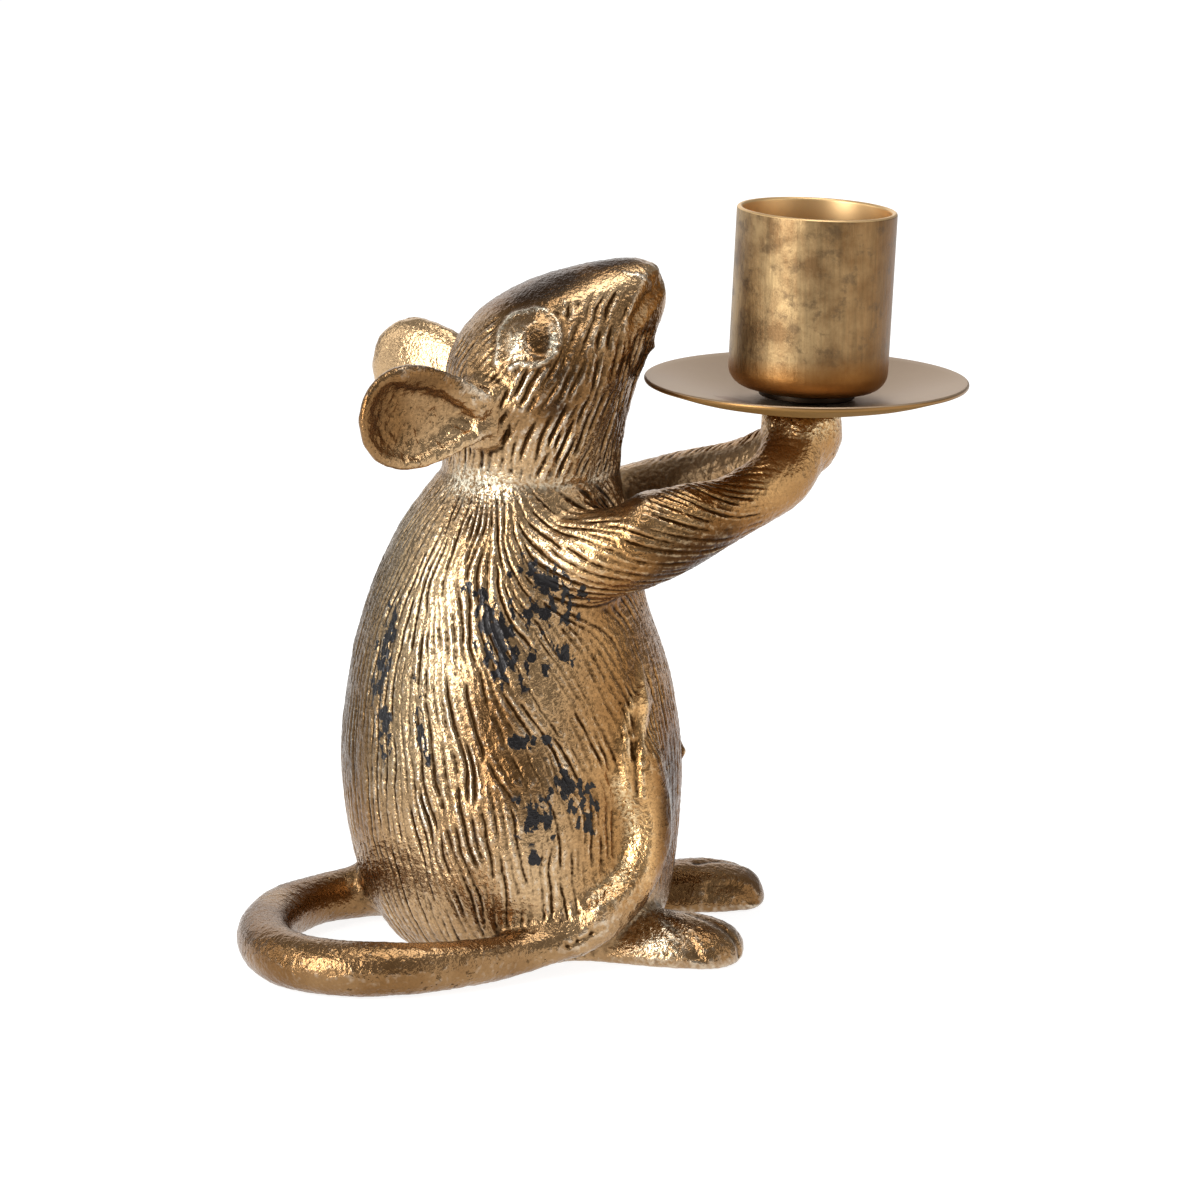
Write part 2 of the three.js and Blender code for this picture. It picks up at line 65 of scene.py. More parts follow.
# The mouse's skin: two body halves, a head and a tail, sand-cast in aluminium, welded and filed to one form.
# They are shaped as one skin, because the chased fur runs on over the welds, and are cut apart further down.
CASTINGS = ("right_body_half", "left_body_half", "head", "tail")
ROUGH_GRID = 0.7
FINE_GRID = 0.28
MIDDLE = (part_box("right_body_half")[1].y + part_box("left_body_half")[0].y) / 2 / MM
NECK = (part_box("left_body_half")[0].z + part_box("head")[0].z) / MM
EAR = np.array([-26.0, 18.5, 84.5])  # middle of an ear: forward, out from the middle plane, up
EAR_REACH = 13.5
EAR_ROOT = np.array([-13.5, 13.7, 84.4])


def make_only(piece):
    bpy.ops.object.select_all(action="DESELECT")
    piece.select_set(True)
    bpy.context.view_layer.objects.active = piece


def apply_modifier(piece, kind, **settings):
    make_only(piece)
    step = piece.modifiers.new(kind.lower(), kind)
    for name, value in settings.items():
        setattr(step, name, value)
    bpy.ops.object.modifier_apply(modifier=step.name)


def places_of(piece):
    flat = np.empty(3 * len(piece.data.vertices))
    piece.data.vertices.foreach_get("co", flat)
    return flat.reshape(-1, 3) / MM


def put_places(piece, place):
    piece.data.vertices.foreach_set("co", (place * MM).ravel())
    piece.data.update()


def normals_of(piece):
    flat = np.empty(3 * len(piece.data.vertices))
    piece.data.vertex_normals.foreach_get("vector", flat)
    return flat.reshape(-1, 3)


def links_of(piece):
    ends = np.empty(2 * len(piece.data.edges), dtype=np.int32)
    piece.data.edges.foreach_get("vertices", ends)
    return ends.reshape(-1, 2)


def relaxed(values, links, rounds, share=0.5):
    """Each round moves every value towards the mean of its neighbours."""
    count = len(values)
    one, other = links[:, 0], links[:, 1]
    around = np.bincount(links.ravel(), minlength=count)[:, None]
    share = np.broadcast_to(np.asarray(share, float).reshape(-1, 1), (count, 1))
    for _ in range(rounds):
        total = np.empty_like(values)
        for k in range(values.shape[1]):
            column = values[:, k]
            total[:, k] = np.bincount(one, column[other], count) + np.bincount(other, column[one], count)
        values = values + share * (total / around - values)
    return values


def filled(piece, values, links, rounds, share):
    """As relaxed, but only hollows move, so that they fill up and nothing shrinks."""
    rounds_a_normal = 10
    for _ in range(rounds // rounds_a_normal):
        put_places(piece, values)
        normals = normals_of(piece)
        for _ in range(rounds_a_normal):
            step = relaxed(values, links, 1, 1) - values
            outward = np.maximum((step * normals).sum(axis=1), 0)
            values = values + normals * (share * outward)[:, None]
    return values


def mirrored_out(place):
    """Places with y counted outwards from the middle plane, so that one set of values serves both sides."""
    return np.stack([place[:, 0], np.abs(place[:, 1] - MIDDLE), place[:, 2]], axis=1)


def step_up(values, low, high):
    """A soft step from 0 at low to 1 at high."""
    t = np.clip((values - low) / (high - low), 0, 1)
    return t * t * (3 - 2 * t)


def band(values, rise, full, fade, gone):
    """1 from full to fade, with a soft step down to 0 at rise and at gone."""
    return step_up(values, rise, full) * step_up(gone - values, 0, gone - fade)


bpy.ops.object.select_all(action="DESELECT")
for name in CASTINGS:
    casting = frame["nodes"][name].copy()
    casting.data = casting.data.copy()
    casting.parent = None
    bpy.context.scene.collection.objects.link(casting)
    casting.select_set(True)
bpy.context.view_layer.objects.active = casting
bpy.ops.object.join()
skin = bpy.context.view_layer.objects.active
skin.name = "mouse_skin"
for key in list(skin.keys()):
    del skin[key]
bpy.ops.object.mode_set(mode="EDIT")
bpy.ops.mesh.select_all(action="SELECT")
bpy.ops.mesh.remove_doubles(threshold=MM / 1000)
bpy.ops.object.mode_set(mode="OBJECT")

# The welds are filed smooth, the thin ears and the stub under the pan less than the rest. Then come the
# forms that hammer, file and weld gave the joined castings: a lower near arm, a higher shoulder, a tail tip
# whose end sinks into the flank, and filled hollows beside the tip, under the paws and at the tail's root.
FILE_ROUNDS = 14
TIP_SUNK = 0.75  # share of its height that the tip's end loses
ARM_LOWERED = 1.1
SHOULDER_RAISED = 1.2
STUB_DRAWN_BACK = 1.2
WRIST_ROUNDS = 12
BELLY_ROUNDS = 90
ROOT_ROUNDS = 40
FILL_ROUNDS = 240
SMOOTH_ROUNDS = 6
apply_modifier(skin, "REMESH", mode="VOXEL", voxel_size=ROUGH_GRID * MM)
links = links_of(skin)
rough = places_of(skin)
x, y, z = rough.T
from_ear = np.linalg.norm(mirrored_out(rough) - EAR, axis=1)
file_share = 0.12 + 0.38 * step_up(from_ear, EAR_REACH - 4, EAR_REACH + 2)
file_share *= 1 - 0.8 * step_up(x, 22, 26) * step_up(z, 76, 80)
rough = relaxed(rough, links, FILE_ROUNDS, file_share)
x, y, z = rough.T
put_places(skin, rough)

# The left flank, mirrored, says where the right one lies under the tip.
left_faces = [tuple(face.vertices) for face in skin.data.polygons if face.center.y > MIDDLE * MM]
mirrored = np.stack([x, 2 * MIDDLE - y, z], axis=1).tolist()
plain_flank = BVHTree.FromPolygons(mirrored, left_faces)
by_tip_end = (y < MIDDLE) & (np.abs(x - 5) < 9) & (np.abs(z - 41) < 13)
for i in np.flatnonzero(by_tip_end):
    flat_spot = np.array(plain_flank.find_nearest(Vector(rough[i]))[0])
    rough[i] += TIP_SUNK * step_up(rough[i, 2], 31, 43) * (flat_spot - rough[i])

on_near_arm = (y < MIDDLE) * band(x, 11, 18, 23, 25.4)
at_shoulder = (y < MIDDLE - 4) * np.exp(-(((x - 6) / 3) ** 2))
above_arm_middle = step_up(z - 67.8 - 0.43 * (x - 14), 0, 5)
z -= ARM_LOWERED * on_near_arm * above_arm_middle
z += SHOULDER_RAISED * at_shoulder * above_arm_middle
stub_back = band(x, 23, 25, 26.5, 28.5) * step_up(z, 76.5, 79.5)
x -= STUB_DRAWN_BACK * stub_back
around_wrist = band(x, 17, 20, 28, 30) * band(z, 70, 73, 80.5, 82)
by_belly = step_up(x, 1, 4) * band(z, 33, 38, 51, 56)
rough = relaxed(rough, links, WRIST_ROUNDS, 0.5 * around_wrist)
rough = relaxed(rough, links, BELLY_ROUNDS, 0.5 * by_belly)
x, y, z = rough.T
at_root = step_up(y, MIDDLE - 3, MIDDLE + 3) * step_up(-x, 14, 20)
at_root *= step_up(14 - z, 0, 4)
rough = relaxed(rough, links, ROOT_ROUNDS, 0.5 * at_root)
x, y, z = rough.T
put_places(skin, rough)
at_paws = step_up(x, 25, 29) * band(z, 64, 68, 80, 82)
beside_tip = (y < MIDDLE) * step_up(x, 1.5, 4) * band(z, 12, 16, 46, 50)
at_pit = (y < MIDDLE) * np.exp(-((x + 2.6) ** 2 + (z - 12.1) ** 2) / 20)
hollows = np.clip(at_paws + beside_tip + at_pit + at_root, 0, 1)
rough = filled(skin, rough, links, FILL_ROUNDS, hollows)
rough[:, 2] = np.maximum(rough[:, 2], 0)
put_places(skin, rough)
apply_modifier(skin, "REMESH", mode="VOXEL", voxel_size=FINE_GRID * MM)
links = links_of(skin)
place = relaxed(places_of(skin), links, SMOOTH_ROUNDS)
place[:, 2] = np.maximum(place[:, 2], 0)
put_places(skin, place)

# Face, ears, thighs, feet and tail tip: cut and raised by hand before the fur is chased.
# Lines are given in millimetres as seen from the side, or from above for the toes. Each cut or ridge is a
# height in millimetres times a bead along its line, or times a soft step, as wide as the number beside it.
NOSE_CORNER = (8.8, 104.8)
KNUCKLE = (36.0, 75.6)
EYE_MIDDLE = (-11.0, 96.0)
IRIS_MIDDLE = (-9.5, 95.9)
LID_LINE = [
    (-15.9, 92.4), (-15.6, 94.6), (-15.2, 96.8), (-13.8, 98.6), (-11.8, 99.4), (-9.3, 99.7), (-7.2, 99.0),
    (-6.2, 96.8), (-6.7, 94.6), (-8.3, 93.1), (-10.4, 92.5), (-12.5, 92.6), (-13.8, 91.8),
]
IRIS_RADIUS = 1.85
BROW_CURL = (-6.7, 99.7)
SNOUT_RIDGE = [(-9.3, 99.8), (-6.3, 100.8), (-4.2, 101.9), (1.0, 103.2), (5.8, 104.4)]
UPPER_LIP_LINE = [(3.2, 96.8), (4.4, 100.0), (6.4, 103.9)]
MOUTH_LINE = [(4.9, 98.4), (6.4, 100.4), (9.2, 103.4)]
LOWER_LIP_LINE = [(5.2, 96.0), (7.6, 98.8), (9.8, 101.6)]
EAR_FOLD = [(-29.5, 91.6), (-24.0, 90.2), (-18.6, 86.2)]
EAR_RIDGE = [(-20.5, 90.4), (-16.5, 88.6), (-13.0, 86.2)]
THIGH = (-12.0, 15.0)
THIGH_WIDE, THIGH_HIGH = 15.0, 18.0
TIP_LINE = [
    (-4.8, 5.6), (-0.3, 8.0), (3.9, 11.8), (6.6, 16.5), (7.7, 21.2), (7.2, 27.3), (5.9, 35.3), (5.5, 44.5),
]
VALLEY_LINE = [(-2.4, 13.0), (1.4, 15.4), (3.3, 18.9), (3.6, 22.6), (2.6, 26.5), (1.9, 31.0)]
FILED_LINE = [(-0.6, 12.8), (2.3, 14.6), (4.4, 17.5), (5.0, 21.0), (4.4, 24.5), (2.8, 28.8)]
CREST_LINE = [(-0.3, 10.6), (2.6, 11.9), (5.3, 14.6), (7.0, 18.6), (7.3, 22.5), (6.6, 26.1), (6.3, 30.0)]
PETAL_LINE = [(4.4, 36.0), (3.6, 35.0), (3.4, 32.0), (3.9, 28.3)]
PETAL_FOLD = [(5.1, 34.9), (5.3, 27.6)]
WEDGE_LINE = [(6.2, 35.2), (6.3, 27.0)]
FLAME_MIDDLE = (6.2, 40.0)
FLAME_WIDE, FLAME_HIGH = 1.6, 5.6
LEAF = [(3.6, 37.2), (4.7, 41.0)]
WELD_LINE = [(-5.1, 5.6), (0.1, 8.4)]
WELD_TICKS = [[(-5.1, 5.6), (-5.4, 6.3)], [(-3.6, 6.4), (-3.9, 7.2)], [(-1.6, 7.5), (-1.8, 8.1)]]
BURRS = [(7.3, 92.9), (12.3, 29.0)]
TOE_LINES = [
    [(9.5, -11.5), (13.0, -15.0), (16.5, -18.5)], [(13.5, -8.5), (17.0, -10.8), (21.5, -12.8)],
    [(15.0, 20.0), (19.0, 22.5), (23.0, 24.5)], [(17.0, 15.5), (21.0, 16.5), (26.0, 17.0)],
]


def off_line(flat, line):
    """How far each point of a flat view lies from a line through the given points."""
    best = np.full(len(flat), np.inf)
    for start, end in zip(np.array(line[:-1], float), np.array(line[1:], float)):
        run = end - start
        along = np.clip((flat - start) @ run / (run @ run), 0, 1)
        best = np.minimum(best, np.linalg.norm(flat - start - along[:, None] * run, axis=1))
    return best


def smooth_line(points, steps=6):
    """A rounder line through the same points."""
    points = np.array(points, float)
    padded = np.vstack([2 * points[0] - points[1], points, 2 * points[-1] - points[-2]])
    line = []
    for a, b, c, d in zip(padded[:-3], padded[1:-2], padded[2:-1], padded[3:]):
        for t in np.arange(steps) / steps:
            line.append(b + 0.5 * t * (c - a + t * (2 * a - 5 * b + 4 * c - d + t * (3 * (b - c) + d - a))))
    return line + [points[-1]]


def bead(far, width):
    """1 on a line, falling softly to 0 on both sides."""
    return np.exp(-((far / width) ** 2))


def noise_at(spots, size, shift=0.0):
    """Smooth noise between about -1 and 1 whose lumps are about so many millimetres wide."""
    return np.array([noise.noise(Vector(p) / size + Vector((shift, 0, 0))) for p in spots])


def inside(flat, line):
    """True for the points that a line goes round, closed from its end to its start."""
    within = np.zeros(len(flat), bool)
    for (ax, az), (bx, bz) in zip(line, line[1:] + line[:1]):
        if az == bz:
            continue
        crosses = (az > flat[:, 1]) != (bz > flat[:, 1])
        within ^= crosses & (flat[:, 0] < ax + (bx - ax) * (flat[:, 1] - az) / (bz - az))
    return within


facing = normals_of(skin)
x, y, z = place.T
out = mirrored_out(place)
from_side = place[:, [0, 2]]
outward = facing[:, 1] * np.sign(y - MIDDLE)
on_right = y < MIDDLE
is_head = (z > NECK) & (x < 11)
ear_run = EAR - EAR_ROOT
ear_along = np.clip((out - EAR_ROOT) @ ear_run / (ear_run @ ear_run), 0, 1)
ear_far = np.linalg.norm(out - EAR_ROOT - ear_along[:, None] * ear_run, axis=1)
is_ear = step_up(3 + (EAR_REACH - 3) * ear_along - ear_far, -1, 1) * step_up(-x, 14, 16) * is_head
cheek = step_up(outward, 0.1, 0.4) * is_head * (1 - is_ear)
lid_line = smooth_line(LID_LINE)
lid_far = off_line(from_side, lid_line)
in_eye = inside(from_side, lid_line) & is_head
eye_far = np.linalg.norm(from_side - EYE_MIDDLE, axis=1)
iris_far = np.linalg.norm(from_side - IRIS_MIDDLE, axis=1)
uneven_hand = 0.7 + 0.6 * noise_at(place, 2.5, 4)
lift = 0.28 * uneven_hand * bead(lid_far, 0.3) + 0.35 * np.maximum(1 - (eye_far / 4) ** 2, 0)
lift -= 0.12 * bead(lid_far - 0.7, 0.35) * ~in_eye * (eye_far < 7)
lift -= 0.2 * bead(iris_far - IRIS_RADIUS, 0.3) + 0.1 * step_up(IRIS_RADIUS - iris_far, 0, 0.8)
curl_far = np.linalg.norm(from_side - BROW_CURL, axis=1)
lift += 0.06 * bead(curl_far - 1.6, 0.4) - 0.25 * bead(curl_far, 0.9)
for ring_far in (0.7, 2.6, 3.2):
    lift -= 0.1 * bead(iris_far - ring_far, 0.25) * step_up(noise_at(place, 1.6, ring_far), 0, 0.3)
lift += 0.5 * bead(np.linalg.norm(from_side - NOSE_CORNER, axis=1), 1.8)
lift += 0.35 * bead(off_line(from_side, SNOUT_RIDGE), 1.6)
lift -= 0.4 * bead(off_line(from_side, MOUTH_LINE), 0.9)
lift += 0.3 * bead(off_line(from_side, UPPER_LIP_LINE), 0.8)
lift += 0.2 * bead(off_line(from_side, LOWER_LIP_LINE), 0.8)
lift *= cheek
ear_bowl = is_ear * step_up(outward, 0.2, 0.6)
lift += ear_bowl * (1.3 * bead(off_line(from_side, EAR_FOLD), 1.6) + 1.0 * step_up(x, -24, -15))
lift += 0.4 * bead(off_line(from_side, EAR_RIDGE), 1.8) * is_head * step_up(outward, 0, 0.4)
lift -= 0.3 * bead(np.linalg.norm(from_side - KNUCKLE, axis=1), 2.4)
flank = ~is_head * step_up(outward, 0.15, 0.5)
thigh_far = np.hypot((x - THIGH[0]) / THIGH_WIDE, (z - THIGH[1]) / THIGH_HIGH)
lift += 0.6 * flank * step_up(1.05 - thigh_far, 0, 0.2) * step_up(z, 6, 16)
on_flank = on_right * flank
valley_far = off_line(from_side, smooth_line(VALLEY_LINE))
crest_far = off_line(from_side, smooth_line(CREST_LINE))
crest_rise = 1.2 - 0.7 * step_up(z, 20, 30)
lift += on_flank * (crest_rise * bead(crest_far, 2.4) + 0.1 * bead(crest_far, 0.8))
lift -= on_flank * 0.3 * bead(valley_far, 1.2)
lift += on_flank * 0.5 * bead(off_line(from_side, smooth_line(PETAL_LINE)), 0.9)
lift += on_flank * 0.14 * bead(off_line(from_side, WEDGE_LINE), 0.7)
lift -= on_flank * 0.2 * bead(off_line(from_side, PETAL_FOLD), 0.6)
flame_far = np.abs(x - FLAME_MIDDLE[0]) / FLAME_WIDE
flame_far += np.abs(z - FLAME_MIDDLE[1]) / FLAME_HIGH
in_flame = on_right * step_up(1.15 - flame_far, 0, 0.35) * ~is_head
leaf_far = off_line(from_side, LEAF)
lift += on_right * ~is_head * (1.1 * np.maximum(1 - flame_far, 0) + 0.4 * bead(leaf_far, 0.7))
lift -= on_flank * 0.25 * bead(off_line(from_side, WELD_LINE), 0.35)
for tick in WELD_TICKS:
    lift -= on_flank * 0.2 * bead(off_line(from_side, tick), 0.35)
for burr in BURRS:
    lift += 0.7 * bead(np.linalg.norm(from_side - burr, axis=1), 0.9) * bead(out[:, 1], 1.2)
lift -= 0.15 * bead(z - NECK, 0.7) * (x < 9)
on_foot = step_up(x, 8, 11) * step_up(9 - z, 0, 1)
on_foot *= step_up(facing[:, 2] + 0.5 * facing[:, 0], 0, 0.3)
for line in TOE_LINES:
    lift -= 0.42 * on_foot * bead(off_line(place[:, :2], line), 0.8)
place = place + facing * lift[:, None]
put_places(skin, place)

# Fur: lines chased into the castings with a punch, each a shallow groove that follows the lie of the hair.
# The comb says how the fur lies, seen from the side: forward, up, lean from straight down to the front in
# degrees, and the lines' spacing and depth there, in millimetres.
BODY_COMB = [
    (-28, 66, -20, 1.6, 0.22), (-34, 57, -19, 1.7, 0.25), (-39, 42, -8, 1.7, 0.25), (-39, 24, 2, 1.8, 0.25),
    (-35, 14, 14, 1.9, 0.25), (-20, 66, -8, 1.6, 0.3), (-27, 51, 2, 1.8, 0.35), (-20, 54, 9, 1.9, 0.38),
    (-16, 69, 0, 1.5, 0.32), (-13, 64, 20, 1.9, 0.4), (-8, 67, 48, 2.2, 0.46), (-3, 68, 58, 2.4, 0.5),
    (2, 69, 70, 2.1, 0.48), (-5, 61, 68, 2.0, 0.4), (0, 59, 78, 1.6, 0.32), (1, 55, 72, 1.6, 0.22),
    (-17, 51, 22, 2.0, 0.38), (-11, 50, 38, 2.0, 0.3), (-7, 43, 29, 2.0, 0.25), (-1, 45, 27, 1.9, 0.14),
    (6, 48, 22, 1.8, 0.1), (-36, 28, 7, 1.8, 0.28), (-31, 25, 14, 1.9, 0.32), (-28, 14, 17, 2.0, 0.28),
    (-25, 24, 19, 2.0, 0.36), (-20, 16, 23, 2.1, 0.32), (-21, 32, 14, 2.0, 0.36), (-18, 26, 12, 2.1, 0.34),
    (-15, 15, 8, 2.2, 0.28), (-10, 15, 8, 2.2, 0.28), (-6, 18, 2, 2.1, 0.28), (-3, 19, 0, 2.0, 0.28),
    (1, 21, -5, 1.8, 0.25), (-12, 31, 31, 2.0, 0.3), (-4, 33, 29, 1.9, 0.28), (-8, 38, 37, 2.0, 0.28),
    (9, 70, 74, 1.7, 0.42), (13, 72, 74, 1.5, 0.38), (18, 69, 74, 1.5, 0.34), (9, 64, 77, 1.5, 0.34),
    (21, 74, 92, 1.4, 0.25), (28, 74, 84, 1.4, 0.08), (8, 30, 6, 1.9, 0.25), (9, 40, 4, 1.8, 0.3),
    (11, 22, 4, 1.9, 0.2),
]
HEAD_COMB = [
    (-18, 79, -20, 1.6, 0.25), (-15, 84, -22, 1.7, 0.42), (-15, 77, -20, 1.6, 0.35),
    (-11, 80, -18, 1.6, 0.4),
    (-9, 86, -22, 1.7, 0.42), (-8, 78, -24, 1.6, 0.4), (-3, 79, -26, 1.5, 0.4), (0, 80, -26, 1.5, 0.34),
    (-3, 98, -14, 1.7, 0.4), (-1, 96, -22, 1.7, 0.42), (2, 99, -14, 1.5, 0.32), (3, 98, -24, 1.5, 0.25),
    (3, 88, -20, 1.5, 0.32), (-6, 90, -27, 1.7, 0.42), (-11, 101, -72, 1.3, 0.12), (-17, 97, -46, 1.4, 0.22),
    (-22, 88, -20, 1.5, 0.2),
]
HEAD_CLOSE, BODY_CLOSE = 0.9, 0.76  # share of the comb's spacing at which the strokes lie
HEAD_DEEP = 1.3
HEAD_STROKE, BODY_STROKE = 16.0, 46.0  # longest strokes
STROKE_STEP = 0.3
CELL = 2.8  # side of the boxes in which near strokes are looked up
ARM_RISE = math.radians(31)
ARM_WAY = np.array([math.cos(ARM_RISE), 0, math.sin(ARM_RISE)])


def combed(flat, comb):
    """The comb's values at each point, taken from its nearest rows."""
    rows = np.array(comb, float)
    near = 1 / (((flat[:, None, :] - rows[None, :, :2]) ** 2).sum(axis=2) + 1) ** 2
    near /= near.sum(axis=1, keepdims=True)
    lean = np.radians(rows[:, 2])
    forward = near @ np.sin(lean)
    down = near @ np.cos(lean)
    return np.stack([forward, np.zeros(len(flat)), -down], axis=1), near @ rows[:, 3], near @ rows[:, 4]


facing = normals_of(skin)
x, y, z = place.T
out = mirrored_out(place)
from_side = place[:, [0, 2]]
way = np.zeros_like(place)
spacing = np.zeros(len(place))
depth = np.zeros(len(place))
for members, comb in ((is_head, HEAD_COMB), (~is_head, BODY_COMB)):
    way[members], spacing[members], depth[members] = combed(from_side[members], comb)
spacing *= np.where(is_head, HEAD_CLOSE, BODY_CLOSE)
depth *= np.where(is_head, HEAD_DEEP, 1)
way[:, 0] += 0.32 * noise_at(place, 7) + 0.26 * noise_at(place, 2.2)
on_arm = (~is_head * step_up(x, 3, 9) * step_up(z, 57, 61))[:, None]
arm_up = np.cross(ARM_WAY, (0, 1, 0))
along = ARM_WAY - facing * (facing @ ARM_WAY)[:, None]
along /= np.maximum(np.linalg.norm(along, axis=1, keepdims=True), 1e-6)
across = np.cross(facing, along) * np.sign(MIDDLE - y)[:, None]
wrapped = (way @ ARM_WAY)[:, None] * along + (way @ arm_up)[:, None] * across
way -= facing * (way * facing).sum(axis=1, keepdims=True)
way = (1 - on_arm) * way + on_arm * wrapped
way /= np.maximum(np.linalg.norm(way, axis=1, keepdims=True), 1e-6)

tip_far = off_line(from_side, TIP_LINE)
bare = (bead(lid_far, 1.0) * is_head + in_eye) * (1 - is_ear) + is_ear
bare += is_head * step_up(z - 0.22 * x, 101.2, 102.6)
bare += is_head * step_up(x, 3.5, 4.8) * step_up(z, 95, 97)
bare += ~is_head * step_up(x, 24, 29)
tip_wide = 3.8 - 2.6 * step_up(z, 26, 37)
bare += on_right * step_up(tip_wide - tip_far, 0, 1.2) * (x > -6)
bare += on_right * step_up(1.6 - valley_far, 0, 1.2) * step_up(32 - z, 0, 6)
bare += step_up(x, -4, 0) * step_up(12 - z, 0, 3) + in_flame
between_arms = ~is_head * step_up(z, 57, 60) * step_up(x, -1, 3)
inner_arm = between_arms * step_up(-outward, 0.15, 0.45)
bare += 0.9 * bead(z - NECK - 0.3, 1.3) * (x < 9)
bare += inner_arm + ~is_head * bead(np.hypot(x - 4.5, z - 71.5), 3.2)

tail_tree = BVHTree.FromObject(frame["nodes"]["tail"], bpy.context.evaluated_depsgraph_get())
half_trees = [
    BVHTree.FromObject(frame["nodes"][name], bpy.context.evaluated_depsgraph_get())
    for name in ("right_body_half", "left_body_half")
]


def nearest_is_tail(spots):
    """True for the places that lie nearer to the tail than to the body halves."""
    found = np.zeros(len(spots), bool)
    for i in np.flatnonzero(spots[:, 2] < 11):
        spot = Vector(spots[i]) * MM
        tail_far = tail_tree.find_nearest(spot)[3]
        found[i] = tail_far < min(tree.find_nearest(spot)[3] for tree in half_trees)
    return found


is_tail = relaxed(nearest_is_tail(place)[:, None].astype(float), links, 12)[:, 0]
bare += is_tail
depth *= np.clip(1 - bare, 0, 1)
stroke_length = np.where(is_head, HEAD_STROKE, BODY_STROKE)

# Strokes are laid side by side over the skin, each about a spacing away from the ones that are there.
draw = np.random.default_rng(11)
MOST_SPOTS = 80000


def chased(spacing, reach, seed_share):
    """How deep each place lies in its nearest stroke, 0 to about 1, and the stroke's fine bottom line."""
    chosen = draw.permutation(np.flatnonzero(depth > 0.03))[:MOST_SPOTS]
    spots = [Vector(p) for p in place[chosen]]
    ways = [Vector(p) for p in way[chosen]]
    normals = [Vector(p) for p in facing[chosen]]
    rooms = spacing[chosen].tolist()
    reaches = reach[chosen].tolist()
    tree = kdtree.KDTree(len(spots))
    for i, spot in enumerate(spots):
        tree.insert(spot, i)
    tree.balance()
    laid = {}

    def cell_of(spot):
        return int(spot.x // CELL), int(spot.y // CELL), int(spot.z // CELL)

    def crowded(spot, room):
        cx, cy, cz = cell_of(spot)
        for x in (cx - 1, cx, cx + 1):
            for y in (cy - 1, cy, cy + 1):
                for z in (cz - 1, cz, cz + 1):
                    if any((spot - other).length < room for other in laid.get((x, y, z), ())):
                        return True
        return False

    def stroke_through(start, length):
        path = [start]
        for sign in (1, -1):
            spot = start
            gone = 0
            while gone < length / 2:
                _, i, far = tree.find(spot)
                if far > 1.2:
                    break
                spot = spot + ways[i] * (sign * STROKE_STEP)
                spot = spot - normals[i] * (spot - spots[i]).dot(normals[i])
                if crowded(spot, 0.5 * rooms[i]):
                    break
                path.append(spot)
                gone += STROKE_STEP
            if sign == 1:
                path.reverse()
        return path

    line_spots = []
    line_ways = []
    line_force = []
    waiting = []
    for seed in range(int(seed_share * len(spots))):
        waiting.append(spots[seed])
        while waiting:
            start = waiting.pop()
            _, i, far = tree.find(start)
            if far > 1 or crowded(start, 0.8 * rooms[i]):
                continue
            path = stroke_through(start, reaches[i] * draw.uniform(0.2, 0.9))
            count = len(path)
            if count * STROKE_STEP < 2 * rooms[i]:
                continue
            for spot in path:
                laid.setdefault(cell_of(spot), []).append(spot)
            for spot in path[::5]:
                _, k, _ = tree.find(spot)
                across = ways[k].cross(normals[k]) * (rooms[k] * draw.uniform(0.82, 1.3))
                waiting.append(spot + across)
                waiting.append(spot - across)
            ends = np.minimum(np.arange(count) + 1, np.arange(count)[::-1] + 1) * STROKE_STEP
            run = np.gradient(np.array(path), axis=0)
            line_force.extend(draw.uniform(0.3, 1.25) * np.clip(ends / 2.2, 0, 1) ** 0.7)
            line_ways.extend(run / np.maximum(np.linalg.norm(run, axis=1, keepdims=True), 1e-6))
            line_spots.extend(path)
    line_tree = kdtree.KDTree(len(line_spots))
    for i, spot in enumerate(line_spots):
        line_tree.insert(spot, i)
    line_tree.balance()
    furred = np.flatnonzero(depth > 0.01)
    found = np.array([line_tree.find(p)[1] for p in place[furred]])
    offset = place[furred] - np.array(line_spots)[found]
    along = (offset * np.array(line_ways)[found]).sum(axis=1)
    beyond = np.maximum(np.abs(along) - STROKE_STEP, 0)
    far = np.sqrt(np.maximum((offset ** 2).sum(axis=1) - along ** 2, 0) + beyond ** 2)
    share = far / (0.5 * spacing[furred])
    width = np.where(is_head[furred], 0.52, 0.32 + 0.22 * depth[furred])
    force = np.array(line_force)[found]
    groove = np.zeros(len(place))
    groove[furred] = force * (bead(share, width) - 0.06 * bead(share - 0.8, 0.4))
    line = np.zeros(len(place))
    line[furred] = force * bead(far, 0.26)
    return groove, line


fade = 0.8 + 0.6 * noise_at(place, 5, 9)
groove, line = chased(spacing, stroke_length, 1)
fine_groove, fine_line = chased(0.5 * spacing, 0.3 * stroke_length, 0.3)
groove = depth * (1.2 * fade * groove + 0.25 * fine_groove)
line = step_up(depth, 0.18, 0.4) * (fade * line + 0.3 * fine_line)
place = place - facing * groove[:, None]
place = relaxed(place, links, 1, 0.15)

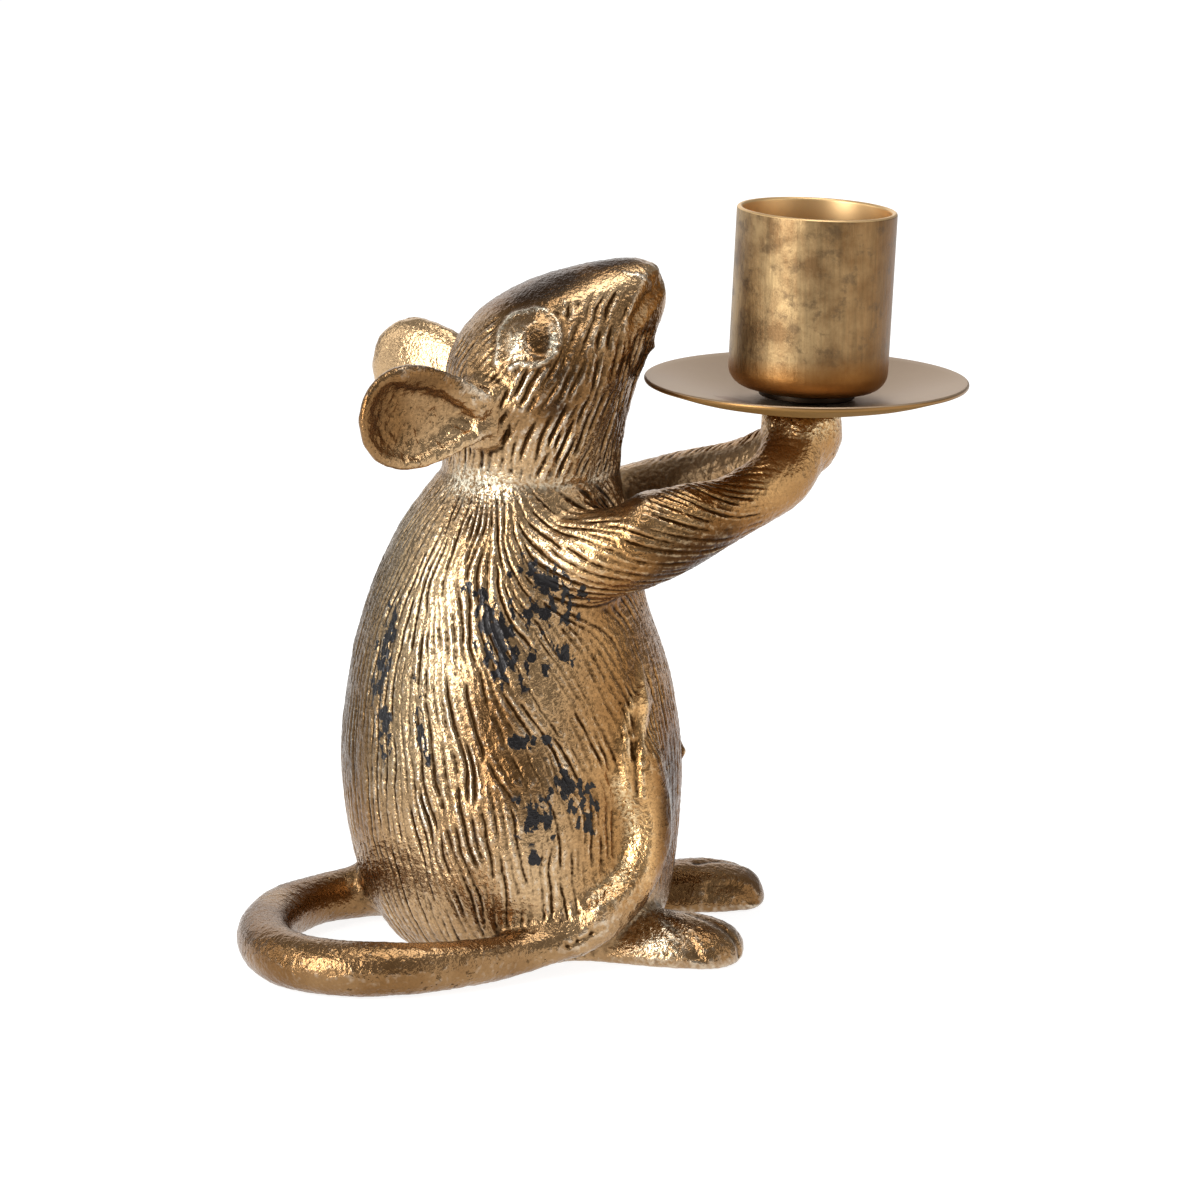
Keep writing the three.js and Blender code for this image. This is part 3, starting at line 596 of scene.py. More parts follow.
# Casting grain: the sand leaves a fine unevenness all over, coarser on the inner arms, in the ears and at
# the wrist. Hammer marks lie in the ears and on the back of the far one, and flutes along the tail's tip.
x, y, z = place.T
grain = noise_at(place, 0.9) + 0.6 * noise_at(place, 0.45)
lumps = noise_at(place, 2.6)
swell = noise_at(place, 8)
striae = noise_at(place / (2.2, 2.2, 0.5), 1) * step_up(depth, 0.04, 0.15) * (1 - on_arm[:, 0])
at_wrist = bead(np.hypot((x - 27) / 6, (z - 77) / 4.5), 1) * (x > 20)
rough_cast = np.maximum(inner_arm, 0.6 * at_wrist)
ear_back = is_ear * (1 - ear_bowl)
ear_share = np.hypot((x - EAR[0]) / 10.5, (z - EAR[2]) / 8.2)
ear_inner = ear_bowl * step_up(0.9 - ear_share, 0, 0.15)
hammer = 0.24 * ear_inner * noise_at(place, 1.2, 2)
hammer += 0.15 * ear_back * ~on_right * noise_at(place, 3.2, 2)
on_tip = on_right * ~is_head * bead(tip_far, 4.5) * step_up(x, -4, 1)
flutes = 0.15 * on_tip * noise_at(place / (1, 1, 3), 1.3, 6)
height = 0.08 * grain * (1 + 0.8 * rough_cast + 0.6 * ear_inner) * (1 - 0.8 * ear_back)
height += np.where(is_head, 0.02, 0.04) * striae + lumps * (0.05 - 0.02 * is_tail)
height += hammer + flutes + 0.12 * swell
place = place + facing * height[:, None]
place[:, 2] = np.maximum(place[:, 2], 0)
put_places(skin, place)

# The finish shows by relief: dark in the recesses, patina there and painted shade, and bright on the
# ridges, rubbed metal and painted highlight. Black patches stay where the gold has worn through, brown
# tarnish and painted shade lie on the shaded side, painted highlights in a brighter gold lie where the
# lamps catch, and the filed welds are pale.
# A patch is given from the side: forward, up, half its height, half its width, strength, and how far its
# upright leans to the front at the foot, in degrees.
BLACK_PATCHES = [
    (-15.3, 51.1, 6.5, 2.4, 0.95, 31), (-8.6, 60.1, 2.4, 5.2, 0.9, -17), (-9.3, 55.4, 3.2, 5.0, 0.6, 0),
    (-5.7, 49.2, 1.6, 1.0, 1.0, 20), (-8.4, 47.5, 1.1, 0.8, 1.0, 20), (-10.6, 49.2, 1.0, 0.8, 0.9, 20),
    (-12.0, 36.7, 0.9, 2.1, 1.0, -8), (-8.5, 36.6, 0.8, 0.9, 1.0, 0), (-10.1, 25.6, 2.6, 3.0, 0.8, 0),
    (-4.0, 28.5, 5.0, 2.2, 0.8, 35), (-10.4, 18.9, 1.0, 1.0, 1.0, 0), (-33, 38, 4, 1.2, 0.8, 5),
    (-32.5, 51, 4, 0.9, 0.8, -10), (-33.5, 45.5, 4, 1.0, 0.7, -5), (-27, 37, 5, 0.8, 0.6, 10),
]
# Brown tarnish, with painted shade in it: the lower arms, the belly's front, the ear bowl's top and left,
# and the back's edge are darkened where less light falls.
TARNISH_AND_SHADE_PATCHES = [
    (13, 63, 4, 13, 1.8, 31), (12, 66.5, 6, 11, 1.3, 31), (7, 48, 14, 6, 0.6, 0),
    (10.5, 24, 16, 2.6, 1.5, 0),
    (-5, 90, 6, 6, 1.3, -20), (-7, 86.5, 3, 4, 1.5, 0), (1, 106, 1.2, 6, 1.6, 8), (-9, 102.6, 2.2, 9, 2, 22),
    (2, 86, 12, 4, 1.0, 0), (-14, 33, 6, 9, 0.6, 0), (-17, 39, 5, 6, 1.0, 20), (-39, 40, 25, 5, 1.0, 0),
    (18, 4, 5, 14, 0.3, 0), (-13, 84, 5, 6, 0.4, 0), (-32, 86, 6, 4.5, 1.2, 0), (-27, 91, 2.5, 6, 1.0, 0),
]
# Pale: filed welds at the neck, and a painted highlight on the near heel.
PALE_PATCHES = [(-19, 73.6, 2.2, 6.0, 1.4, 0), (-6, 74, 1.2, 12, 0.5, 0), (8.5, 4.5, 3, 3.5, 0.8, 0)]
PALE_PAWS = [(30, 81.5, 1.8, 7, 1.0, 0)]
EYE_WHITES = [(-12.8, 95.0, 1.8, 1.4, 1.2, 0), (-7.3, 95.4, 2.2, 0.8, 1.2, 0)]
# Painted highlights: a brighter gold where the lamps catch the shoulder, the torso's left, the arm tops, the
# snout, the paws, the thigh, the haunch, the far ear's back and the tail's tip.
PAINTED_HIGHLIGHT_PATCHES = [
    (-4, 66.5, 5, 8, 0.8, 0), (14, 72, 2.5, 9, 0.7, 31), (-24, 52, 16, 4, 0.8, 0),
    (1, 102.8, 1.5, 7, 0.8, 18),
    (-15, 77, 4, 6, 0.4, 0), (25, 75, 4, 5, 0.7, 31), (28, 77.5, 4, 4.5, 0.7, 0), (-11, 16, 7, 8, 0.5, 0),
    (-27, 15, 7, 5, 0.5, 0), (-22, 81, 3, 5, 0.6, 20),
]
PAINTED_HIGHLIGHT_ON_TIP = [
    (7, 21, 8, 1.5, 1.1, 0), (6.3, 40.4, 4.6, 0.9, 1.2, 0), (4.3, 39.5, 3.2, 0.7, 1.0, -15),
    (3.6, 32, 4.5, 0.8, 0.9, 0),
]
RELIEF_ROUNDS = 16
CUT_ROUNDS = 40
LEFT_BLACK = 0.6


def patches(rows):
    """The strongest of the patches at each place."""
    strength = np.zeros(len(place))
    for forward, up, high, wide, most, lean in rows:
        turn = math.radians(lean)
        ahead, above = place[:, 0] - forward, place[:, 2] - up
        across = ahead * math.cos(turn) + above * math.sin(turn)
        along = above * math.cos(turn) - ahead * math.sin(turn)
        far = (across / wide) ** 2 + (along / high) ** 2
        strength = np.maximum(strength, most * np.exp(-far))
    return strength


facing = normals_of(skin)
x, y, z = place.T
mouth_far = off_line(from_side, MOUTH_LINE)
filed_far = off_line(from_side, smooth_line(FILED_LINE))
relief = ((place - relaxed(place, links, RELIEF_ROUNDS)) * facing).sum(axis=1)
even_shade = is_ear + at_wrist + on_right * bead(valley_far, 2.2) + is_head * bead(mouth_far, 1.6)
front_share = step_up(x, -9, 3)
back_share = step_up(-x, 16, 34) * step_up(z, 18, 34)
clear_of_neck = np.maximum(step_up(NECK - z, 0, 8), step_up(x, 6, 12))
tinted_body = ~is_head * (1 - is_tail) * (1 - inner_arm) * step_up(z, 8, 14) * clear_of_neck
far_foot = ~on_right * step_up(x, 6, 10) * step_up(12 - z, 0, 2)
# Painted highlight on the lid's ridge, strongest on its upper left, which faces the lamps.
lid_highlight = 0.3 + 0.7 * step_up(-9 - x, -2, 2)
layers = {
    "relief": relief * (1 - 0.7 * np.clip(even_shade, 0, 1)),
    "plain": np.clip(bare, 0, 1) * (1 - ear_bowl) * (1 - 0.7 * on_tip),
    "line": line,
    "black": patches(BLACK_PATCHES) * (1 - is_ear) * np.where(on_right, 1, LEFT_BLACK),
    # Brown: tarnish and painted shade, with the far foot painted darker for shade.
    "brown": np.maximum.reduce([patches(TARNISH_AND_SHADE_PATCHES), 0.55 * is_tail, 0.65 * far_foot]),
    "pale": np.maximum.reduce([
        patches(PALE_PATCHES) * on_right * step_up(out[:, 1], 5, 9),
        patches(PALE_PAWS),
        patches(EYE_WHITES) * cheek * in_eye,
        lid_highlight * bead(lid_far, 0.32) * cheek,
        0.75 * on_flank * bead(filed_far, 1.3),
    ]),
    "painted_highlight": np.maximum.reduce([
        patches(PAINTED_HIGHLIGHT_PATCHES), patches(PAINTED_HIGHLIGHT_ON_TIP) * on_right, 0.7 * ear_back * ~on_right,
    ]),
    "eye": 0.7 * step_up(2.2 - iris_far, 0, 0.7) * cheek,
    "rough": rough_cast,
    "warm": tinted_body * (front_share - back_share),
    "of_tail": relaxed(is_tail[:, None], links, CUT_ROUNDS)[:, 0],
}
for name, values in layers.items():
    layer = skin.data.attributes.new(name, "FLOAT", "POINT")
    layer.data.foreach_set("value", values.astype(np.float32))


# Antique gold on sand-cast aluminium: a warm, uneven metal, brown in the recesses, with patina and painted
# shade, and rubbed and painted bright on the ridges.
# The real grit is about 0.2 mm, and is drawn at 0.4 to 0.5 mm so that it shows.
def srgb(code):
    """A hex colour as linear red, green, blue and alpha."""
    parts = [int(code[i : i + 2], 16) / 255 for i in (1, 3, 5)]
    return [c / 12.92 if c <= 0.04045 else ((c + 0.055) / 1.055) ** 2.4 for c in parts] + [1]


def per_mm(size):
    """A texture's scale for a pattern that repeats about every so many millimetres."""
    return 1 / (size * MM)


def set_inputs(tree, node, inputs):
    """Sets a node's inputs to values, or links them to outputs."""
    for socket, value in inputs.items():
        if isinstance(value, bpy.types.NodeSocket):
            tree.links.new(value, node.inputs[socket])
        else:
            node.inputs[socket].default_value = value


def add(tree, kind, inputs, out=0, **settings):
    """Adds a node with its settings and inputs, and gives one of its outputs."""
    made = tree.nodes.new("ShaderNode" + kind)
    for name, value in settings.items():
        setattr(made, name, value)
    set_inputs(tree, made, inputs)
    return made.outputs[out]


def new_material(name):
    made = bpy.data.materials.new(name)
    made.use_nodes = True
    tree = made.node_tree
    return made, tree, tree.nodes["Principled BSDF"]


COLOR_A, COLOR_B, COLOR_OUT = 6, 7, 2  # a Mix node's colour sockets
CAST_NOISES = {  # size in millimetres, detail, roughness
    "grain": (0.5, 2, 0.5), "mottle": (2.2, 5, 0.6), "cloud": (12, 3, 0.5), "speckle": (0.4, 2, 0.5),
}
FRAY = 1.4  # how far the edges of the black chips stray
cast_gold, tree, surface = new_material("antique_gold_on_sand_cast_aluminium")
spot = add(tree, "TexCoord", {}, "Object")
layer = {name: add(tree, "Attribute", {}, "Fac", attribute_name=name) for name in layers}
cast_noise = {}
for name, (size, detail, soft) in CAST_NOISES.items():
    inputs = {"Vector": spot, "Scale": per_mm(size), "Detail": detail, "Roughness": soft}
    cast_noise[name] = add(tree, "TexNoise", inputs)
grain, mottle, cloud, speckle = cast_noise.values()

# How high each spot stands: the relief, the fine lines and the grain together.
uneven = add(tree, "Math", {0: mottle, 1: 0.1, 2: -0.05}, operation="MULTIPLY_ADD")
gritty = add(tree, "Math", {0: grain, 1: 0.14, 2: -0.07}, operation="MULTIPLY_ADD")
rugged = add(tree, "Math", {0: uneven, 1: gritty})
evenness = add(tree, "MapRange", {"Value": layer["plain"], "To Min": 1, "To Max": 0.4})
raised = add(tree, "Math", {0: rugged, 1: evenness, 2: layer["relief"]}, operation="MULTIPLY_ADD")
level = add(tree, "Math", {0: layer["line"], 1: -0.06, 2: raised}, operation="MULTIPLY_ADD")
# Painted shade with patina: the recesses and the chased lines darken towards a dark brown.
recessed = add(tree, "MapRange", {"Value": level, "From Min": 0, "From Max": -0.14})

# How much of each coat lies there.
brown_spread = add(tree, "Math", {0: cloud, 1: 1.6, 2: -0.5}, operation="MULTIPLY_ADD")
brown_depth = add(tree, "Math", {0: layer["brown"], 1: brown_spread})
brown_level = add(tree, "MapRange", {"Value": brown_depth})
umber_level = add(tree, "MapRange", {"Value": brown_depth, "From Min": 1.1, "From Max": 1.8})
brown = add(tree, "Mix", {0: umber_level, COLOR_A: srgb("#7a5936"), COLOR_B: srgb("#46311e")},
            COLOR_OUT, data_type="RGBA")
# Bright on the ridges: rubbed metal and painted highlight, less where the brown lies.
bright_most = add(tree, "MapRange", {"Value": brown_level, "To Min": 1, "To Max": 0.55})
bright = add(tree, "MapRange", {"Value": level, "From Min": 0.05, "From Max": 0.19, "To Max": bright_most})
fray = add(tree, "TexNoise", {
    "Vector": spot, "Scale": per_mm(0.9), "Detail": 4, "Roughness": 0.65,
}, "Color")
frayed = add(tree, "VectorMath", {0: fray, 1: [FRAY * MM] * 3, 2: spot}, operation="MULTIPLY_ADD")
chip_spot = add(tree, "Mapping", {"Vector": frayed, "Rotation": (0, 0.5, 0), "Scale": (1.3, 1, 0.6)})
chip = add(tree, "TexVoronoi", {"Vector": chip_spot, "Scale": per_mm(1.0)}, "Color")
chipped = add(tree, "SeparateColor", {0: chip})
worn_level = add(tree, "Math", {0: layer["black"], 1: chipped})
worn = add(tree, "MapRange", {"Value": worn_level, "From Min": 0.99, "From Max": 1.03})
pale_grit = add(tree, "MapRange", {"Value": grain, "From Min": 0.38, "From Max": 0.62})
pale_level = add(tree, "Math", {0: layer["pale"], 1: pale_grit}, operation="MULTIPLY", use_clamp=True)
rough_level = add(tree, "Math", {0: layer["rough"], 1: 0.45}, operation="MULTIPLY")

colour = srgb("#b3926a")
# The coats in order: brown tarnish with painted shade, painted highlight, patina with painted shade in the
# recesses, rubbed metal with painted highlight on the ridges, black wear, pale welds and painted lid
# highlight, the iris, and the coarse cast.
for share, coat in (
    (brown_level, brown),
    (layer["painted_highlight"], srgb("#d4b48a")),
    (recessed, srgb("#35220f")),
    (bright, srgb("#e2d6c2")),
    (worn, srgb("#201d1d")),
    (pale_level, srgb("#e6dcc4")),
    (layer["eye"], srgb("#4a331c")),
    (rough_level, srgb("#6f5c45")),
):
    colour = add(tree, "Mix", {0: share, COLOR_A: colour, COLOR_B: coat}, COLOR_OUT, data_type="RGBA")

# Fine grit, and the tint: warmer towards the belly and the paws, cooler on the back, partly the metal's own
# tone and partly painted light, a warm fill in front and cool light on the back.
grit_tone = add(tree, "MapRange", {
    "Value": speckle, "From Min": 0.32, "From Max": 0.68, "To Min": 0.78, "To Max": 1.18,
})
warmth = add(tree, "MapRange", {"Value": layer["warm"]})
coolness = add(tree, "MapRange", {"Value": layer["warm"], "From Max": -1})
tint = srgb("#ffffff")
for share, coat in ((coolness, "#e4f1ff"), (warmth, "#ffeed2")):
    tint = add(tree, "Mix", {0: share, COLOR_A: tint, COLOR_B: srgb(coat)}, COLOR_OUT, data_type="RGBA")
for share, tone in ((evenness, grit_tone), (1, tint)):
    colour = add(tree, "Mix", {0: share, COLOR_A: colour, COLOR_B: tone}, COLOR_OUT,
                 data_type="RGBA", blend_type="MULTIPLY")
sheen_level = add(tree, "MapRange", {"Value": recessed, "To Min": 0.15, "To Max": 0.38})
mottled = add(tree, "Math", {0: mottle, 1: 0.14, 2: sheen_level}, operation="MULTIPLY_ADD")
gloss = add(tree, "Math", {0: layer["rough"], 1: 0.25, 2: mottled}, operation="MULTIPLY_ADD")
bump = add(tree, "Bump", {"Height": grain, "Strength": 1, "Distance": 0.15 * MM})
metal = add(tree, "MapRange", {"Value": worn, "To Min": 1, "To Max": 0.5})
set_inputs(tree, surface, {"Base Color": colour, "Roughness": gloss, "Normal": bump, "Metallic": metal})
skin.data.materials.clear()
skin.data.materials.append(cast_gold)

# The four castings are cut apart again at their welds, and each cut is closed.
MOST_TRIANGLES = 480000
apply_modifier(skin, "DECIMATE", ratio=min(1, MOST_TRIANGLES / (2 * len(skin.data.polygons))))
centres = np.empty(3 * len(skin.data.polygons))
skin.data.polygons.foreach_get("center", centres)
centres = centres.reshape(-1, 3) / MM
of_head = (centres[:, 2] > NECK) & (centres[:, 0] < 11)
tail_share = np.empty(len(skin.data.vertices))
skin.data.attributes["of_tail"].data.foreach_get("value", tail_share)
of_tail = np.array([tail_share[face.vertices[0]] > 0.5 for face in skin.data.polygons]) & ~of_head
of_right = (centres[:, 1] < MIDDLE) & ~of_head & ~of_tail
owner = np.select([of_head, of_tail, of_right], [0, 1, 2], 3)
skin.data.polygons.foreach_set("use_smooth", np.ones(len(centres), bool))
for index, name in enumerate(("head", "tail", "right_body_half")):
    make_only(skin)
    skin.data.polygons.foreach_set("select", owner == index)
    owner = owner[owner != index]
    bpy.ops.object.mode_set(mode="EDIT")
    bpy.ops.mesh.select_mode(type="FACE")
    bpy.ops.mesh.separate(type="SELECTED")
    bpy.ops.object.mode_set(mode="OBJECT")
    casting = next(o for o in bpy.context.selected_objects if o != skin)
    casting.name = "chased_" + name
    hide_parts(name)
skin.name = "chased_left_body_half"
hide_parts("left_body_half")
for name in CASTINGS:
    casting = bpy.data.objects["chased_" + name]
    make_only(casting)
    bpy.ops.object.mode_set(mode="EDIT")
    bpy.ops.mesh.select_mode(type="EDGE")
    bpy.ops.mesh.select_all(action="DESELECT")
    bpy.ops.mesh.select_non_manifold()
    bpy.ops.mesh.mark_sharp()
    bpy.ops.mesh.edge_face_add()
    bpy.ops.object.mode_set(mode="OBJECT")
    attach(casting, "mouse")

# Drip pan: a thin round dish, spun from aluminium sheet and lacquered antique gold.
# The screw clamps it between the paws and the spacer.
SIDES = 128
PAN_FLAT = 9
PAN_EDGE = 0.35
stack_foot = Vector(frame["joints"][0]["pos_m"])
pan_axis = Vector(frame["joints"][0]["axis"])
cup_axis = Vector(frame["joints"][1]["axis"])


def spans(node, axis):
    """A turned node's lowest and highest height along its axis, and its radius, in millimetres."""
    corners = [v.co - stack_foot for v in frame["nodes"][node].data.vertices]
    heights = [corner.dot(axis) / MM for corner in corners]
    radii = [(corner - axis * corner.dot(axis)).length / MM for corner in corners]
    return min(heights), max(heights), max(radii)


def turned(name, outline, axis):
    """A closed outline of radius and height, in millimetres, spun round an axis on the paws."""
    mesh = bpy.data.meshes.new(name)
    count = len(outline)
    corners = [(r * MM, 0, h * MM) for r, h in outline]
    mesh.from_pydata(corners, [(i, (i + 1) % count) for i in range(count)], [])
    piece = bpy.data.objects.new(name, mesh)
    bpy.context.scene.collection.objects.link(piece)
    make_only(piece)
    bpy.ops.object.mode_set(mode="EDIT")
    bpy.ops.mesh.select_all(action="SELECT")
    bpy.ops.mesh.spin(steps=SIDES, angle=2 * math.pi, center=(0, 0, 0), axis=(0, 0, 1))
    bpy.ops.mesh.select_all(action="SELECT")
    bpy.ops.mesh.remove_doubles(threshold=MM / 1000)
    bpy.ops.mesh.normals_make_consistent(inside=False)
    bpy.ops.object.mode_set(mode="OBJECT")
    lean = Vector((0, 0, 1)).rotation_difference(axis).to_matrix().to_4x4()
    mesh.transform(Matrix.Translation(stack_foot) @ lean)
    make_only(piece)
    bpy.ops.object.shade_smooth_by_angle(angle=math.radians(40))
    return piece


def rounded(r, h, radius, start, end, steps=5):
    """Points of a rounded corner about a middle at radius r and height h, from one angle to another."""
    turns = [math.radians(start + (end - start) * i / steps) for i in range(steps + 1)]
    return [(r + radius * math.cos(t), h + radius * math.sin(t)) for t in turns]


pan_low, pan_high, pan_radius = spans("drip_pan", pan_axis)
HOLE = 2.3
PAN_THICK = 1.3
PAN_TAPER = 0.5
PAN_STAIN = Vector((20.5, 0.5, 86)) * MM
STAIN_REACH = 6
pan_dish = pan_high - pan_low - PAN_THICK


def pan_rise(radius):
    return pan_low + pan_dish * (max(radius - PAN_FLAT, 0) / (pan_radius - PAN_FLAT)) ** 1.08


rings = [HOLE, PAN_FLAT] + [PAN_FLAT + (pan_radius - PAN_EDGE - PAN_FLAT) * i / 12 for i in range(1, 13)]
under = [(r, pan_rise(r) + PAN_TAPER * max(r - pan_radius + 5, 0) / 5) for r in rings]
over = [(r, pan_rise(r) + PAN_THICK) for r in reversed(rings)]
edge_height = pan_rise(pan_radius - PAN_EDGE)
edge = rounded(pan_radius - PAN_EDGE, edge_height + PAN_TAPER + PAN_EDGE, PAN_EDGE, -80, 0, 3)
edge += rounded(pan_radius - PAN_EDGE, edge_height + PAN_THICK - PAN_EDGE, PAN_EDGE, 0, 80, 3)
pan = turned("spun_drip_pan", under + edge + over, pan_axis)
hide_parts("drip_pan")
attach(pan, "pan")

# Antique gold on spun aluminium: dull and almost even, a little cloudy, with one brown stain beside the cup.
pan_gold, tree, surface = new_material("antique_gold_on_spun_aluminium")
spot = add(tree, "TexCoord", {}, "Object")
cloud = add(tree, "TexNoise", {"Vector": spot, "Scale": per_mm(9), "Detail": 4})
grit = add(tree, "TexNoise", {"Vector": spot, "Scale": per_mm(0.5), "Detail": 2})
blotch = add(tree, "TexNoise", {"Vector": spot, "Scale": per_mm(2.5), "Detail": 4})
from_stain = add(tree, "VectorMath", {0: spot, 1: PAN_STAIN}, "Value", operation="DISTANCE")
near_stain = add(tree, "MapRange", {"Value": from_stain, "From Min": STAIN_REACH * MM, "From Max": 0})
stain_edge = add(tree, "Math", {0: near_stain, 1: blotch})
stain = add(tree, "MapRange", {"Value": stain_edge, "From Min": 0.95, "From Max": 1.05, "To Max": 0.6})
colour = srgb("#957a5e")
for share, coat in ((cloud, "#b39c82"), (stain, "#7d5430")):
    colour = add(tree, "Mix", {0: share, COLOR_A: colour, COLOR_B: srgb(coat)}, COLOR_OUT, data_type="RGBA")
dull = add(tree, "Math", {0: cloud, 1: 0.15, 2: 0.38}, operation="MULTIPLY_ADD")
bump = add(tree, "Bump", {"Height": grit, "Strength": 0.2, "Distance": 0.03 * MM})
set_inputs(tree, surface, {"Base Color": colour, "Roughness": dull, "Normal": bump, "Metallic": 1})
pan.data.materials.append(pan_gold)
# The rim, the faces that look sideways, gets a deeper, glossier gold than the top.
rim_gold, tree, surface = new_material("antique_gold_left_on_the_pan_rim")
set_inputs(tree, surface, {"Base Color": srgb("#8d6a40"), "Metallic": 1, "Roughness": 0.34})
pan.data.materials.append(rim_gold)
# Under the pan, painted shade: the faces that look down are a matt brown that stands for the shade there.
under_brown, tree, surface = new_material("brown_painted_shade_under_the_pan")
set_inputs(tree, surface, {
    "Base Color": srgb("#a07a46"), "Metallic": 0.35, "Specular IOR Level": 0, "Roughness": 0.7,
})
pan.data.materials.append(under_brown)
# Faces that look sideways get the rim gold, faces that look down the painted shade.
for face in pan.data.polygons:
    face.material_index = 1 if face.normal.z < 0.5 else 0
    if face.normal.z < -0.5:
        face.material_index = 2

# Spacer: a dark ring that lifts the cup off the dish, so that a dark gap shows under the cup. It is turned
# from steel that has tarnished almost black, with a dull sheen, and the screw clamps it under the cup. Its
# near-black tone is also painted shade, standing for the shadow in that gap.
steel, tree, surface = new_material("tarnished_steel_and_painted_shade")
spot = add(tree, "TexCoord", {}, "Object")
tarnish = add(tree, "TexNoise", {"Vector": spot, "Scale": per_mm(2), "Detail": 4})
colour = add(tree, "Mix", {0: tarnish, COLOR_A: srgb("#241f1b"), COLOR_B: srgb("#463d34")},
             COLOR_OUT, data_type="RGBA")
set_inputs(tree, surface, {"Base Color": colour, "Metallic": 1, "Roughness": 0.45})


def ring(name, node, corner):
    low, high, radius = spans(node, cup_axis)
    outline = [(HOLE, low), *rounded(radius - corner, low + corner, corner, -90, 0, 3)]
    outline += [*rounded(radius - corner, high - corner, corner, 0, 90, 3), (HOLE, high)]
    piece = turned(name, outline, cup_axis)
    piece.data.materials.append(steel)
    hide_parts(node)
    return piece


spacer = ring("turned_cup_spacer", "cup_spacer", 0.2)
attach(spacer, "cup")

# Candle cup: a thin cup of aluminium with a rounded bottom edge and a rounded lip, turned, brushed up and
# down and lacquered antique gold. It stands on the spacer and is held by the screw through its floor.
CUP_WALL = 0.85
CUP_FLOOR = 1.6
CUP_CORNER = 3
cup_low, cup_high, cup_radius = spans("candle_cup", cup_axis)
bore = cup_radius - CUP_WALL
inner_corner = CUP_CORNER - CUP_WALL
lip = CUP_WALL / 2
outline = [(HOLE, cup_low), *rounded(cup_radius - CUP_CORNER, cup_low + CUP_CORNER, CUP_CORNER, -90, 0, 8)]
outline += [(cup_radius, cup_low + (cup_high - cup_low) * i / 8) for i in range(2, 8)]
outline += rounded(bore + lip, cup_high - lip, lip, 0, 180, 8)
outline += [(bore, cup_high + (cup_low - cup_high) * i / 8) for i in range(1, 7)]
outline += rounded(bore - inner_corner, cup_low + CUP_FLOOR + inner_corner, inner_corner, 0, -90, 6)
outline += [(HOLE, cup_low + CUP_FLOOR)]
cup = turned("turned_candle_cup", outline, cup_axis)
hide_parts("candle_cup")
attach(cup, "cup")

# Antique gold on brushed aluminium: a soft gloss with upright streaks, cloudy brown stains and small dark
# marks, and painted shade that makes it browner in front, away from the key light. The real brush marks are
# finer, and are drawn 0.5 mm wide so that they show.
SHADE_START, SHADE_FULL = 29, 44  # forward
FOOT_BAND_TOP, FOOT_BAND_FULL = 92.5, 89.5  # up
cup_gold, tree, surface = new_material("antique_gold_on_brushed_aluminium")
spot = add(tree, "TexCoord", {}, "Object")
stretched = add(tree, "Mapping", {"Vector": spot, "Scale": (1, 1, 0.06)})
brushed = add(tree, "TexNoise", {"Vector": stretched, "Scale": per_mm(0.5), "Detail": 3})
cloud = add(tree, "TexNoise", {
    "Vector": spot, "Scale": per_mm(7), "Detail": 8, "Roughness": 0.65, "Distortion": 0.1,
})
mark = add(tree, "TexNoise", {"Vector": spot, "Scale": per_mm(3), "Detail": 9, "Roughness": 0.72})
pits = add(tree, "TexNoise", {"Vector": spot, "Scale": per_mm(1.1), "Detail": 5, "Roughness": 0.65})
streaky = add(tree, "Math", {0: brushed, 1: 0.16, 2: cloud}, operation="MULTIPLY_ADD")
stain = add(tree, "MapRange", {"Value": streaky, "From Min": 0.48, "From Max": 0.72, "To Max": 0.85})
forward = add(tree, "SeparateXYZ", {0: spot}, "X")
# Painted shade: browner towards the front.
shaded = add(tree, "MapRange", {
    "Value": forward, "From Min": SHADE_START * MM, "From Max": SHADE_FULL * MM, "To Max": 0.85,
})
marked = add(tree, "MapRange", {"Value": mark, "From Min": 0.52, "From Max": 0.62, "To Max": 0.7})
colour = srgb("#b0946a")
for share, coat in ((stain, "#6b4f33"), (shaded, "#76532f"), (marked, "#64503a")):
    colour = add(tree, "Mix", {0: share, COLOR_A: colour, COLOR_B: srgb(coat)}, COLOR_OUT, data_type="RGBA")
brush_tone = add(tree, "MapRange", {
    "Value": brushed, "From Min": 0.3, "From Max": 0.7, "To Min": 0.74, "To Max": 1.16,
})
with_brush = add(tree, "Mix", {0: 1, COLOR_A: colour, COLOR_B: brush_tone}, COLOR_OUT,
                 data_type="RGBA", blend_type="MULTIPLY")
up = add(tree, "SeparateXYZ", {0: spot}, "Z")
foot_band = add(tree, "MapRange", {
    "Value": up, "From Min": FOOT_BAND_TOP * MM, "From Max": FOOT_BAND_FULL * MM, "To Max": 0.8,
})
with_foot = add(tree, "Mix", {0: foot_band, COLOR_A: with_brush, COLOR_B: srgb("#a8743a")},
                COLOR_OUT, data_type="RGBA")
streak = add(tree, "MapRange", {"Value": brushed, "To Min": 0.3, "To Max": 0.52})
pitted = add(tree, "Math", {0: pits, 1: stain}, operation="MULTIPLY")
rough_spots = add(tree, "Bump", {"Height": pitted, "Strength": 0.6, "Distance": 0.12 * MM})
bump = add(tree, "Bump", {"Height": brushed, "Strength": 0.25, "Distance": 0.03 * MM, "Normal": rough_spots})
set_inputs(tree, surface, {"Base Color": with_foot, "Roughness": streak, "Normal": bump, "Metallic": 1})
cup.data.materials.append(cup_gold)
# Inside and on the faces that look up the gold is plain, and painted paler for the light that falls in
# from above.
inner_gold, tree, surface = new_material("antique_gold_inside_the_cup")
set_inputs(tree, surface, {"Base Color": srgb("#dcb884"), "Metallic": 1, "Roughness": 0.42})
cup.data.materials.append(inner_gold)
